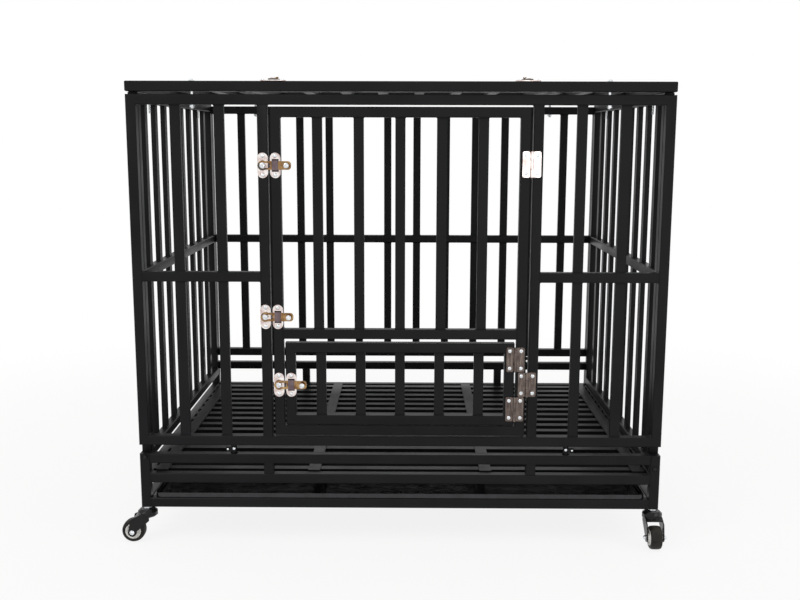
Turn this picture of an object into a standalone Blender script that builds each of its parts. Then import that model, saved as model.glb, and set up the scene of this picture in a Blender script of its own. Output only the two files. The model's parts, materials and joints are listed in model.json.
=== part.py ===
# Folding dog crate on casters: welded square-tube panels, two doors, a roof hatch and a slide-out tray.
# Metres, +Z up. The origin is on the floor under the centre of the crate, and the front faces -Y.

import math

import bmesh
import bpy
from mathutils import Matrix, Vector

for leftover in list(bpy.data.objects):
    bpy.data.objects.remove(leftover)

# Tube stock and general clearances
TUBE = 0.020
TUBE_CORNER = 0.0015
BAR_WIDTH = 0.020
BAR_THICKNESS = 0.010
WELD_DEPTH = 0.0010
SEAT_GAP = 0.0003

# Overall sizes of the crate without its casters' swing
CRATE_WIDTH = 1.080
CRATE_DEPTH = 0.787

# Casters, with the wheel trailing behind its swivel
CASTER_HEIGHT = 0.078
WHEEL_RADIUS = 0.025
TREAD_WIDTH = 0.023
TREAD_CROWN = 0.0015
TREAD_FLAT_HALF = 0.0069
HUB_WIDTH = 0.031
HUB_RADIUS = 0.0155
HUB_BOSS_RADIUS = 0.008
HUB_WEB_HALF = 0.0058
CASTER_TRAIL = 0.030
AXLE_RADIUS = 0.004
AXLE_CAP_RADIUS = 0.0048
AXLE_CAP_DEPTH = 0.0015
AXLE_CLEARANCE = 0.0003
FORK_SHEET = 0.0025
FORK_END_RADIUS = 0.0095
FORK_CROWN_HEIGHT = 0.053
FORK_SHOULDER_HEIGHT = 0.062
FORK_REAR = 0.033
FORK_FRONT = 0.006
FORK_REAR_DROP = 0.0125
FORK_FRONT_DROP = 0.003
SWIVEL_HEAD_RADIUS = 0.021
SWIVEL_HEAD_TOP = 0.0728
SWIVEL_HEAD_NECK = 0.015
SWIVEL_HEAD_RISE = 0.005
SWIVEL_HEAD_FALL = 0.0025
KINGPIN_RADIUS = 0.005
KINGPIN_REACH = 0.012
STEM_REACH = 0.018
STEM_NUT_RADIUS = 0.0095

# Base frame, measured up from its underside
TRAY_SLOT = 0.0333
UPPER_SLOT = 0.0224
RUNNER_OFFSET = 0.300
BEARER_OFFSET = 0.180

# Floor grate
SLAT_COUNT = 16
SLAT_PITCH = 0.0465
STRIP_WIDTH = 0.025
STRIP_THICKNESS = 0.003
STRIP_END_INSET = 0.0075

# Tray
TRAY_SIDE_CLEARANCE = 0.008
TRAY_END_CLEARANCE = 0.004
TRAY_RIM = 0.0097
TRAY_SHEET = 0.0012
TRAY_CORNER = 0.012

# Heights of the walls, above the underside of the base frame
LEFT_SIDE_BOTTOM = 0.099
FOLD_STEP = 0.021
PANEL_STANDOFF = 0.019
ROOF_UNDERSIDE = 0.8535
ROOF_STANDOFF = 0.0055
MID_RAIL_BOTTOM = 0.477

# Side panels and their fold pivots
SIDE_BAR_COUNT = 8
SIDE_BAR_PITCH = 0.084
PIVOT_INSET = 0.0115
PIVOT_RADIUS = 0.003
PIVOT_REACH = 0.012
PIVOT_CLEARANCE = 0.0003
PIVOT_HEAD_RADIUS = 0.0055
PIVOT_HEAD_HEIGHT = 0.0028

# Front and back panels
DOORWAY_WIDTH = 0.524
FLANK_BAR_INSET = 0.086
FLANK_BAR_PITCH = 0.086
BACK_BAR_COUNT = 12
BACK_BAR_PITCH = 0.0803
STUD_OFFSET = 0.345
STUD_COLLAR_RADIUS = 0.006
STUD_PIN_RADIUS = 0.004
STUD_PIN_REACH = 0.012
STUD_SLOT_LENGTH = 0.018
STUD_CLEARANCE = 0.0006

# Main door, and the feeding door in its lower window
DOOR_SIDE_GAP = 0.005
DOOR_BOTTOM_GAP = 0.0033
DOOR_TOP_GAP = 0.0042
DOOR_BAR_COUNT = 5
DOOR_BAR_PITCH = 0.0823
FEEDING_WINDOW_HEIGHT = 0.182
FEEDING_SIDE_GAP = 0.0035
FEEDING_BOTTOM_GAP = 0.002
FEEDING_TOP_GAP = 0.008
FEEDING_BAR_COUNT = 5
FEEDING_BAR_PITCH = 0.0806

# Roof panel and the hatch in it
HATCHWAY_WIDTH = 0.610
HATCH_SIDE_GAP = 0.005
HATCH_REAR_GAP = 0.004
HATCH_BAR_COUNT = 6
HATCH_BAR_PITCH = 0.079
ROOF_FLANK_BAR_COUNT = 2
ROOF_FLANK_BAR_PITCH = 0.065
ROOF_BOLT_SPACING = 0.052
ROOF_BOLT_RADIUS = 0.003
ROOF_BOLT_CLEARANCE = 0.0003
BOLT_HEAD_RADIUS = 0.006
BOLT_HEAD_HEIGHT = 0.0036
BOLT_HEAD_RIM = 0.0014
NUT_RADIUS = 0.0058
NUT_HEIGHT = 0.005
BOLT_TAIL = 0.002

# Butt hinges
HINGE_LENGTH = 0.051
HINGE_LEAF_REACH = 0.0183
HINGE_LEAF_SHEET = 0.0015
HINGE_LEAF_CORNER = 0.003
HINGE_STANDOFF = 0.0035
KNUCKLE_RADIUS = 0.0031
KNUCKLE_GAP = 0.0003
HINGE_PIN_RADIUS = 0.0015
HINGE_PIN_CLEARANCE = 0.0003
HINGE_TONGUE_START = 0.0008
HINGE_TONGUE_INSET = 0.0001
DOOR_HINGE_RISE = 0.109
DOOR_HINGE_DROP = 0.1108
FEEDING_HINGE_RISE = 0.035
FEEDING_HINGE_DROP = 0.033
HATCH_HINGE_INSET = 0.100

# Keyhole bolts that latch the doors and the hatch
LATCH_PLATE_WIDTH = 0.021
LATCH_PLATE_LENGTH = 0.050
LATCH_PLATE_SHEET = 0.002
LATCH_BOLT_HEIGHT = 0.017
LATCH_BOLT_SHEET = 0.0025
LATCH_BOLT_TAIL = 0.0565
LATCH_BOLT_CORNER = 0.006
LATCH_EYE_RIM = 0.010
LATCH_EYE_RADIUS = 0.0065
LATCH_SLOT_WIDTH = 0.0094
LATCH_STUD_RADIUS = 0.0040
LATCH_HEAD_RADIUS = 0.0055
LATCH_HEAD_HEIGHT = 0.0026
LATCH_STRAP_WIDTH = 0.0125
LATCH_STRAP_SHEET = 0.0015
LATCH_KNOB_RADIUS = 0.005
LATCH_KNOB_HEIGHT = 0.007
LATCH_KNOB_ROUNDING = 0.0014
LATCH_KNOB_RIM = 0.0021
LATCH_KNOB_NECK = 0.0014
LATCH_KNOB_INSET = 0.009
LATCH_CLEARANCE = 0.0004
LATCH_TRAVEL = 0.0105
DOOR_LATCH_RISE = 0.248
DOOR_LATCH_DROP = 0.1138
FEEDING_LATCH_RISE = 0.085
HATCH_LATCH_INSET = 0.050

# Rounded heads: the flat on top as a share of the radius, and how far a cutter runs past its cut
CROWN_SHARE = 0.7
CUT_MARGIN = 0.005
MERGE_DISTANCE = 0.00001

# Facets of round work
WHEEL_FACET_COUNT = 14
HEAD_FACET_COUNT = 12
ROUND_FACET_COUNT = 10

# Sizes worked out from the ones above
HALF_WIDTH = CRATE_WIDTH / 2
HALF_DEPTH = CRATE_DEPTH / 2
HALF_TUBE = TUBE / 2
FRONT_FACE = -HALF_DEPTH
BACK_FACE = HALF_DEPTH
BASE_BOTTOM = CASTER_HEIGHT
LOWER_RAIL_TOP = BASE_BOTTOM + TUBE
MIDDLE_RAIL_BOTTOM = LOWER_RAIL_TOP + TRAY_SLOT
MIDDLE_RAIL_TOP = MIDDLE_RAIL_BOTTOM + TUBE
FRONT_RAIL_BOTTOM = MIDDLE_RAIL_TOP + UPPER_SLOT
FRONT_RAIL_TOP = FRONT_RAIL_BOTTOM + TUBE
BACK_RAIL_TOP = FRONT_RAIL_TOP + TUBE
ROOF_BOTTOM = BASE_BOTTOM + ROOF_UNDERSIDE
ROOF_TOP = ROOF_BOTTOM + TUBE
WALL_TOP = ROOF_BOTTOM - ROOF_STANDOFF
SIDE_TOP = ROOF_BOTTOM - SEAT_GAP
FRONT_BOTTOM = FRONT_RAIL_TOP + PANEL_STANDOFF
BACK_BOTTOM = BACK_RAIL_TOP + PANEL_STANDOFF
MID_RAIL_LEVEL = BASE_BOTTOM + MID_RAIL_BOTTOM + HALF_TUBE
POST_OFFSET = HALF_WIDTH - HALF_TUBE
POST_DEPTH_OFFSET = HALF_DEPTH - HALF_TUBE
INNER_HALF_WIDTH = HALF_WIDTH - TUBE
INNER_HALF_DEPTH = HALF_DEPTH - TUBE
DOOR_POST_OFFSET = DOORWAY_WIDTH / 2 + HALF_TUBE
FLANK_BAR_OFFSET = DOOR_POST_OFFSET + FLANK_BAR_INSET
DOOR_HALF_WIDTH = DOORWAY_WIDTH / 2 - DOOR_SIDE_GAP
DOOR_BOTTOM = FRONT_BOTTOM + TUBE + DOOR_BOTTOM_GAP
DOOR_TOP = WALL_TOP - TUBE - DOOR_TOP_GAP
WINDOW_BOTTOM = DOOR_BOTTOM + TUBE
WINDOW_TOP = WINDOW_BOTTOM + FEEDING_WINDOW_HEIGHT
WINDOW_HALF_WIDTH = DOOR_HALF_WIDTH - TUBE
FEEDING_HALF_WIDTH = WINDOW_HALF_WIDTH - FEEDING_SIDE_GAP
FEEDING_BOTTOM = WINDOW_BOTTOM + FEEDING_BOTTOM_GAP
FEEDING_TOP = WINDOW_TOP - FEEDING_TOP_GAP
DOOR_AXIS = Vector((DOOR_HALF_WIDTH + DOOR_SIDE_GAP / 2, FRONT_FACE - HINGE_STANDOFF, DOOR_BOTTOM))
FEEDING_AXIS = Vector((
    FEEDING_HALF_WIDTH + FEEDING_SIDE_GAP / 2,
    FRONT_FACE - HINGE_STANDOFF,
    FEEDING_BOTTOM,
))
HATCH_HALF_WIDTH = HATCHWAY_WIDTH / 2 - HATCH_SIDE_GAP
HATCH_HINGE_OFFSET = HATCH_HALF_WIDTH - HATCH_HINGE_INSET
HATCH_LATCH_OFFSET = HATCH_HALF_WIDTH - HATCH_LATCH_INSET
HATCH_FRONT = -INNER_HALF_DEPTH + HATCH_SIDE_GAP
HATCH_REAR = INNER_HALF_DEPTH - HATCH_REAR_GAP
HATCH_AXIS = Vector((0, HATCH_REAR + HATCH_REAR_GAP / 2, ROOF_TOP + HINGE_STANDOFF))
PIVOT_OFFSET = HALF_WIDTH - PIVOT_INSET
SIDE_BOTTOMS = {
    "left": BASE_BOTTOM + LEFT_SIDE_BOTTOM,
    "right": BASE_BOTTOM + LEFT_SIDE_BOTTOM - FOLD_STEP,
}
DOOR_HINGE_LEVELS = {"lower": DOOR_BOTTOM + DOOR_HINGE_RISE, "upper": DOOR_TOP - DOOR_HINGE_DROP}
DOOR_LATCH_LEVELS = {"lower": DOOR_BOTTOM + DOOR_LATCH_RISE, "upper": DOOR_TOP - DOOR_LATCH_DROP}
FEEDING_HINGE_LEVELS = {
    "lower": FEEDING_BOTTOM + FEEDING_HINGE_RISE,
    "upper": FEEDING_TOP - FEEDING_HINGE_DROP,
}
ROOF_BOLT_OFFSETS = {
    "front": FLANK_BAR_OFFSET + ROOF_BOLT_SPACING,
    "back": (BACK_BAR_COUNT / 2 - 1) * BACK_BAR_PITCH,
}
SILL_TOPS = {"front": FRONT_RAIL_TOP, "back": BACK_RAIL_TOP}
SIDE_SIGNS = {"left": -1, "right": 1}
END_SIGNS = {"front": -1, "back": 1}
LATCH_PITCH = TUBE + DOOR_SIDE_GAP

# Finishes: colour, metallic and roughness
FINISHES = {
    "black powder coat": ((0.014, 0.014, 0.016), 0.0, 0.42),
    "black gloss enamel": ((0.010, 0.010, 0.011), 0.0, 0.22),
    "zinc plated steel": ((0.62, 0.61, 0.58), 1.0, 0.30),
    "polished nickel": ((0.66, 0.64, 0.60), 1.0, 0.18),
    "black sheet steel": ((0.020, 0.019, 0.022), 0.0, 0.30),
    "black polyurethane": ((0.018, 0.018, 0.018), 0.0, 0.55),
}


def make_material(name, finish):
    color, metallic, roughness = FINISHES[finish]
    material = bpy.data.materials.new(name + " " + finish)
    material.use_nodes = True
    shader = material.node_tree.nodes["Principled BSDF"]
    shader.inputs["Base Color"].default_value = (*color, 1.0)
    shader.inputs["Metallic"].default_value = metallic
    shader.inputs["Roughness"].default_value = roughness
    material.diffuse_color = (*color, 1.0)
    return material


def mesh_from(name, bm, smooth=False):
    bmesh.ops.recalc_face_normals(bm, faces=bm.faces)
    mesh = bpy.data.meshes.new(name)
    bm.to_mesh(mesh)
    bm.free()
    if smooth:
        mesh.shade_smooth()
        mesh.set_sharp_from_angle(angle=math.radians(35))
    return mesh


def add_axis(name, location, parent=None):
    """Make an empty on a joint's axis, which carries the pieces that turn or slide there."""
    empty = bpy.data.objects.new(name, None)
    empty.empty_display_size = 0.03
    empty.location = location
    empty.parent = parent
    bpy.context.scene.collection.objects.link(empty)
    return empty


def add_part(name, mesh, finish, location=(0, 0, 0), rotation=None, parent=None):
    """Place one piece; the mesh may be shared, so the finish is set on the object."""
    part = bpy.data.objects.new(name, mesh)
    bpy.context.scene.collection.objects.link(part)
    if not mesh.materials:
        mesh.materials.append(None)
    part.material_slots[0].link = "OBJECT"
    part.material_slots[0].material = make_material(name, finish)
    part.parent = parent
    part.location = location
    if rotation is not None:
        part.rotation_euler = rotation.to_euler()
    return part


def boolean(body, tool, operation):
    """Return body with the tool united or cut away; both meshes are used up."""
    holder = bpy.data.objects.new("body", mesh_from("body", body))
    cutter = bpy.data.objects.new("tool", mesh_from("tool", tool))
    for item in (holder, cutter):
        bpy.context.scene.collection.objects.link(item)
    modifier = holder.modifiers.new("combine", "BOOLEAN")
    modifier.operation = operation
    modifier.solver = "EXACT"
    modifier.object = cutter
    result = bmesh.new()
    result.from_object(holder, bpy.context.evaluated_depsgraph_get())
    for item in (holder, cutter):
        mesh = item.data
        bpy.data.objects.remove(item)
        bpy.data.meshes.remove(mesh)
    bmesh.ops.remove_doubles(result, verts=result.verts, dist=MERGE_DISTANCE / 10)
    bmesh.ops.dissolve_degenerate(result, edges=result.edges, dist=MERGE_DISTANCE / 10)
    bmesh.ops.dissolve_limit(result, angle_limit=math.radians(0.05), verts=result.verts, edges=result.edges)
    return result


def unite(body, tool):
    return boolean(body, tool, "UNION")


def cut(body, tool):
    return boolean(body, tool, "DIFFERENCE")


def add_bar(bm, low, high, corner=0):
    """Add a straight bar or tube between two opposite corners; a corner radius eases its long edges."""
    low = Vector(low)
    high = Vector(high)
    size = high - low
    made = bmesh.ops.create_cube(bm, size=1.0, matrix=Matrix.LocRotScale((low + high) / 2, None, size))
    if not corner:
        return
    along = max(range(3), key=lambda axis: size[axis])
    edges = {edge for vert in made["verts"] for edge in vert.link_edges}
    long_edges = [
        edge for edge in edges
        if abs(edge.verts[0].co[along] - edge.verts[1].co[along]) > size[along] / 2
    ]
    bmesh.ops.bevel(
        bm, geom=long_edges, offset=corner, offset_type="OFFSET",
        segments=1, profile=0.5, affect="EDGES", material=-1,
    )


def add_upright(bm, x, bottom, top, width=TUBE, thickness=TUBE, corner=TUBE_CORNER):
    """Add a vertical member of a panel that stands in the XZ plane, welded in at both ends."""
    add_bar(
        bm,
        (x - width / 2, -thickness / 2, bottom - WELD_DEPTH),
        (x + width / 2, thickness / 2, top + WELD_DEPTH),
        corner,
    )


def add_rail(bm, level, left, right):
    """Add a horizontal member of a panel that stands in the XZ plane, welded in at both ends."""
    add_bar(
        bm,
        (left - WELD_DEPTH, -HALF_TUBE, level - HALF_TUBE),
        (right + WELD_DEPTH, HALF_TUBE, level + HALF_TUBE),
        TUBE_CORNER,
    )


def add_grille(bm, centre, count, pitch, bottom, top):
    """Add a row of flat bars, spaced evenly about a centre."""
    for index in range(count):
        x = centre + (index - (count - 1) / 2) * pitch
        add_upright(bm, x, bottom, top, BAR_WIDTH, BAR_THICKNESS, 0)


def tube_ring(half_width, bottom, top):
    """Make a mitred rectangular frame of tube in the XZ plane, centred on X and on the tube's depth."""
    bm = bmesh.new()
    size = Matrix.Diagonal((2 * half_width, TUBE, top - bottom, 1.0))
    bmesh.ops.create_cube(bm, size=1.0, matrix=Matrix.Translation((0, 0, (bottom + top) / 2)) @ size)
    windows = [face for face in bm.faces if abs(face.normal.y) > 0.5]
    bmesh.ops.inset_individual(bm, faces=windows, thickness=TUBE, use_even_offset=True)
    rims = [edge for face in windows for edge in face.edges]
    bmesh.ops.delete(bm, geom=windows, context="FACES_ONLY")
    bmesh.ops.bridge_loops(bm, edges=rims)
    long_edges = [
        edge for edge in bm.edges
        if edge.calc_face_angle() > 1.0 and abs(edge.verts[0].co.y - edge.verts[1].co.y) < HALF_TUBE
    ]
    bmesh.ops.bevel(
        bm, geom=long_edges, offset=TUBE_CORNER, offset_type="OFFSET",
        segments=1, profile=0.5, affect="EDGES", material=-1,
    )
    return bm


def turned(profile, facets, closed=False):
    """Turn (radius, height) points about Z; a closed profile leaves a bore."""
    bm = bmesh.new()
    verts = [bm.verts.new((radius, 0, height)) for radius, height in profile]
    pairs = list(zip(verts, verts[1:]))
    if closed:
        pairs.append((verts[-1], verts[0]))
    edges = [bm.edges.new(pair) for pair in pairs]
    bmesh.ops.spin(
        bm, geom=verts + edges, cent=(0, 0, 0), axis=(0, 0, 1), dvec=(0, 0, 0),
        angle=2 * math.pi, steps=facets, use_merge=True,
    )
    bmesh.ops.remove_doubles(bm, verts=bm.verts, dist=MERGE_DISTANCE / 10)
    bmesh.ops.dissolve_degenerate(bm, edges=bm.edges, dist=MERGE_DISTANCE / 10)
    bmesh.ops.recalc_face_normals(bm, faces=bm.faces)
    return bm


def rod(radius, bottom, top, facets=ROUND_FACET_COUNT):
    return turned([(0, top), (radius, top), (radius, bottom), (0, bottom)], facets)


def moved(bm, matrix):
    bm.transform(matrix)
    return bm


def joined(shapes):
    """Put several shapes that don't touch into one mesh, to be welded or cut in one go."""
    whole = bmesh.new()
    for shape in shapes:
        mesh = mesh_from("shape", shape)
        whole.from_mesh(mesh)
        bpy.data.meshes.remove(mesh)
    return whole


def arc(centre, radius, start, end, steps):
    """List points on an arc; angles in degrees."""
    points = []
    for step in range(steps + 1):
        angle = math.radians(start + (end - start) * step / steps)
        points.append((centre[0] + radius * math.cos(angle), centre[1] + radius * math.sin(angle)))
    return points


def rounded_outline(left, right, bottom, top, radius, steps=4):
    """List the outline of a plate with round corners."""
    corners = (
        ((right - radius, top - radius), 0),
        ((left + radius, top - radius), 90),
        ((left + radius, bottom + radius), 180),
        ((right - radius, bottom + radius), 270),
    )
    points = []
    for centre, start in corners:
        for point in arc(centre, radius, start, start + 90, steps):
            if not points or math.dist(point, points[-1]) > MERGE_DISTANCE / 10:
                points.append(point)
    if math.dist(points[0], points[-1]) < MERGE_DISTANCE / 10:
        points.pop()
    return points


def plate(outline, near, far):
    """Extrude an outline of (x, z) points from one y to another."""
    bm = bmesh.new()
    face = bm.faces.new([bm.verts.new((x, near, z)) for x, z in outline])
    grown = bmesh.ops.extrude_face_region(bm, geom=[face])
    lifted = [item for item in grown["geom"] if isinstance(item, bmesh.types.BMVert)]
    bmesh.ops.translate(bm, verts=lifted, vec=(0, far - near, 0))
    bmesh.ops.recalc_face_normals(bm, faces=bm.faces)
    return bm


def box(low, high):
    bm = bmesh.new()
    low = Vector(low)
    high = Vector(high)
    bmesh.ops.create_cube(bm, size=1.0, matrix=Matrix.LocRotScale((low + high) / 2, None, high - low))
    return bm


# Turns that lay a panel or a fitting made in the XZ plane onto another face of the crate
ALONG_Y = Matrix.Rotation(math.radians(90), 4, "X")
FACE_SIDE = Matrix.Rotation(math.radians(90), 4, "Z")
FACE_UP = Matrix(((0, 0, -1, 0), (1, 0, 0, 0), (0, -1, 0, 0), (0, 0, 0, 1)))
LAY_FLAT = Matrix.Rotation(math.radians(-90), 4, "X")


def build_base_frame():
    """Weld four corner posts with rails at the tray's two levels, runners under it and bearers over it."""
    posts = bmesh.new()
    for x_sign in SIDE_SIGNS.values():
        for end, y_sign in END_SIGNS.items():
            centre = Vector((x_sign * POST_OFFSET, y_sign * POST_DEPTH_OFFSET, 0))
            half = Vector((HALF_TUBE, HALF_TUBE, 0))
            add_bar(
                posts,
                centre - half + Vector((0, 0, BASE_BOTTOM)),
                centre + half + Vector((0, 0, SILL_TOPS[end])),
                TUBE_CORNER,
            )

    cross_rails = bmesh.new()
    for y_sign in END_SIGNS.values():
        near = y_sign * POST_DEPTH_OFFSET - HALF_TUBE
        for top in (LOWER_RAIL_TOP, MIDDLE_RAIL_TOP):
            add_bar(
                cross_rails,
                (-INNER_HALF_WIDTH - WELD_DEPTH, near, top - TUBE),
                (INNER_HALF_WIDTH + WELD_DEPTH, near + TUBE, top),
                TUBE_CORNER,
            )

    long_rails = bmesh.new()
    bearers = bmesh.new()
    reach = INNER_HALF_DEPTH + WELD_DEPTH
    bearer_top = MIDDLE_RAIL_TOP - SEAT_GAP - BAR_THICKNESS - SEAT_GAP
    levels = ((POST_OFFSET, LOWER_RAIL_TOP), (POST_OFFSET, MIDDLE_RAIL_TOP), (RUNNER_OFFSET, LOWER_RAIL_TOP))
    for x_sign in SIDE_SIGNS.values():
        for offset, top in levels:
            x = x_sign * offset
            add_bar(
                long_rails,
                (x - HALF_TUBE, -reach, top - TUBE),
                (x + HALF_TUBE, reach, top),
                TUBE_CORNER,
            )
        x = x_sign * BEARER_OFFSET
        add_bar(
            bearers,
            (x - BAR_WIDTH / 2, -reach, bearer_top - BAR_THICKNESS),
            (x + BAR_WIDTH / 2, reach, bearer_top),
        )

    body = unite(unite(unite(posts, cross_rails), long_rails), bearers)

    holes = []
    for side, x_sign in SIDE_SIGNS.items():
        pivot_level = SIDE_BOTTOMS[side] + HALF_TUBE
        for end, y_sign in END_SIGNS.items():
            y = y_sign * POST_DEPTH_OFFSET
            bore = rod(PIVOT_RADIUS + PIVOT_CLEARANCE, -TUBE, TUBE)
            holes.append(moved(bore, Matrix.Translation((x_sign * PIVOT_OFFSET, y, pivot_level)) @ ALONG_Y))
            socket = rod(KINGPIN_RADIUS + AXLE_CLEARANCE, -TUBE, STEM_REACH + SEAT_GAP)
            holes.append(moved(socket, Matrix.Translation((x_sign * POST_OFFSET, y, BASE_BOTTOM))))
    return cut(body, joined(holes))


def build_sill(end):
    """Fit the rail that a wall panel stands over between two posts, on uprights below the door posts."""
    y = END_SIGNS[end] * POST_DEPTH_OFFSET
    rail = bmesh.new()
    reach = INNER_HALF_WIDTH - SEAT_GAP
    add_bar(
        rail,
        (-reach, y - HALF_TUBE, SILL_TOPS[end] - TUBE),
        (reach, y + HALF_TUBE, SILL_TOPS[end]),
        TUBE_CORNER,
    )
    uprights = bmesh.new()
    for x_sign in SIDE_SIGNS.values():
        x = x_sign * DOOR_POST_OFFSET
        add_bar(
            uprights,
            (x - HALF_TUBE, y - HALF_TUBE, MIDDLE_RAIL_TOP + SEAT_GAP),
            (x + HALF_TUBE, y + HALF_TUBE, SILL_TOPS[end] - TUBE + WELD_DEPTH),
            TUBE_CORNER,
        )
    slots = joined([stud_slot(end, x_sign) for x_sign in SIDE_SIGNS.values()])
    return cut(unite(rail, uprights), slots)


def stud_slot(end, x_sign):
    """Make the oval slot in a sill rail that takes a wall panel's locating stud."""
    half = STUD_SLOT_LENGTH / 2
    width = STUD_PIN_RADIUS + STUD_CLEARANCE
    outline = rounded_outline(-half, half, -width, width, width - MERGE_DISTANCE, 2)
    slot = plate(outline, 0, STUD_PIN_REACH + TUBE)
    place = Matrix.Translation((
        x_sign * STUD_OFFSET,
        END_SIGNS[end] * POST_DEPTH_OFFSET,
        SILL_TOPS[end] - STUD_PIN_REACH - STUD_CLEARANCE,
    ))
    return moved(slot, place @ ALONG_Y)


def build_floor_grate():
    """Lay flat slats across the crate and tie them with four strips along its depth."""
    top = MIDDLE_RAIL_TOP - SEAT_GAP
    reach = INNER_HALF_WIDTH - SEAT_GAP
    slats = bmesh.new()
    for index in range(SLAT_COUNT):
        y = (index - (SLAT_COUNT - 1) / 2) * SLAT_PITCH
        add_bar(
            slats,
            (-reach, y - BAR_WIDTH / 2, top - BAR_THICKNESS),
            (reach, y + BAR_WIDTH / 2, top),
        )
    strips = bmesh.new()
    end_offset = INNER_HALF_WIDTH - STRIP_END_INSET - STRIP_WIDTH / 2
    length = INNER_HALF_DEPTH - SEAT_GAP
    for x in (-end_offset, -BEARER_OFFSET, BEARER_OFFSET, end_offset):
        add_bar(
            strips,
            (x - STRIP_WIDTH / 2, -length, top - WELD_DEPTH / 2),
            (x + STRIP_WIDTH / 2, length, top + STRIP_THICKNESS),
        )
    return unite(slats, strips)


def build_tray():
    """Form a shallow pan: round its upright corners, inset the top and press the floor down."""
    half_width = INNER_HALF_WIDTH - TRAY_SIDE_CLEARANCE
    front = FRONT_FACE + TRAY_END_CLEARANCE
    back = BACK_FACE - TUBE - TRAY_END_CLEARANCE
    bottom = LOWER_RAIL_TOP + SEAT_GAP
    bm = box((-half_width, front, bottom), (half_width, back, bottom + TRAY_RIM))
    upright_edges = [edge for edge in bm.edges if abs(edge.verts[0].co.z - edge.verts[1].co.z) > TRAY_RIM / 2]
    bmesh.ops.bevel(
        bm, geom=upright_edges, offset=TRAY_CORNER, offset_type="OFFSET",
        segments=4, profile=0.5, affect="EDGES", material=-1,
    )
    mouth = [face for face in bm.faces if face.normal.z > 0.5]
    bmesh.ops.inset_region(bm, faces=mouth, thickness=TRAY_SHEET, use_even_offset=True)
    pressed = bmesh.ops.extrude_face_region(bm, geom=mouth)
    floor = [item for item in pressed["geom"] if isinstance(item, bmesh.types.BMVert)]
    bmesh.ops.translate(bm, verts=floor, vec=(0, 0, TRAY_SHEET - TRAY_RIM))
    bmesh.ops.delete(bm, geom=mouth, context="FACES_ONLY")
    return bm


def locating_studs(bottom, rail_top):
    """Make the two shouldered studs under a wall panel, down to the base rail and into its slots."""
    profile = (
        (0, bottom + WELD_DEPTH),
        (STUD_COLLAR_RADIUS, bottom + WELD_DEPTH),
        (STUD_COLLAR_RADIUS, rail_top + SEAT_GAP),
        (STUD_PIN_RADIUS, rail_top + SEAT_GAP),
        (STUD_PIN_RADIUS, rail_top - STUD_PIN_REACH),
        (0, rail_top - STUD_PIN_REACH),
    )
    studs = []
    for x_sign in SIDE_SIGNS.values():
        studs.append(moved(turned(profile, ROUND_FACET_COUNT), Matrix.Translation((x_sign * STUD_OFFSET, 0, 0))))
    return joined(studs)


def roof_bolt_bores(end, bottom, top):
    """Make the cutters for the roof bolts' holes through a wall panel's or the roof's rail."""
    bores = []
    for x_sign in SIDE_SIGNS.values():
        bore = rod(ROOF_BOLT_RADIUS + ROOF_BOLT_CLEARANCE, bottom - CUT_MARGIN, top + CUT_MARGIN)
        bores.append(moved(bore, Matrix.Translation((x_sign * ROOF_BOLT_OFFSETS[end], 0, 0))))
    return joined(bores)


def build_front_panel():
    body = tube_ring(HALF_WIDTH, FRONT_BOTTOM, WALL_TOP)
    posts = bmesh.new()
    rails = bmesh.new()
    bars = bmesh.new()
    inner_bottom = FRONT_BOTTOM + TUBE
    inner_top = WALL_TOP - TUBE
    for x_sign in SIDE_SIGNS.values():
        add_upright(posts, x_sign * DOOR_POST_OFFSET, inner_bottom, inner_top)
        ends = sorted((x_sign * (DOOR_POST_OFFSET + HALF_TUBE), x_sign * INNER_HALF_WIDTH))
        add_rail(rails, MID_RAIL_LEVEL, ends[0], ends[1])
        for offset in (FLANK_BAR_OFFSET, FLANK_BAR_OFFSET + FLANK_BAR_PITCH):
            add_upright(bars, x_sign * offset, inner_bottom, inner_top, BAR_WIDTH, BAR_THICKNESS, 0)
    body = unite(unite(unite(body, posts), rails), bars)
    body = unite(body, locating_studs(FRONT_BOTTOM, FRONT_RAIL_TOP))
    body = cut(body, roof_bolt_bores("front", inner_top, WALL_TOP))
    return moved(body, Matrix.Translation((0, -POST_DEPTH_OFFSET, 0)))


def build_back_panel():
    body = tube_ring(HALF_WIDTH, BACK_BOTTOM, WALL_TOP)
    rails = bmesh.new()
    add_rail(rails, MID_RAIL_LEVEL, -INNER_HALF_WIDTH, INNER_HALF_WIDTH)
    bars = bmesh.new()
    add_grille(bars, 0, BACK_BAR_COUNT, BACK_BAR_PITCH, BACK_BOTTOM + TUBE, WALL_TOP - TUBE)
    body = unite(unite(body, rails), bars)
    body = unite(body, locating_studs(BACK_BOTTOM, BACK_RAIL_TOP))
    body = cut(body, roof_bolt_bores("back", WALL_TOP - TUBE, WALL_TOP))
    return moved(body, Matrix.Translation((0, POST_DEPTH_OFFSET, 0)))


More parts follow.
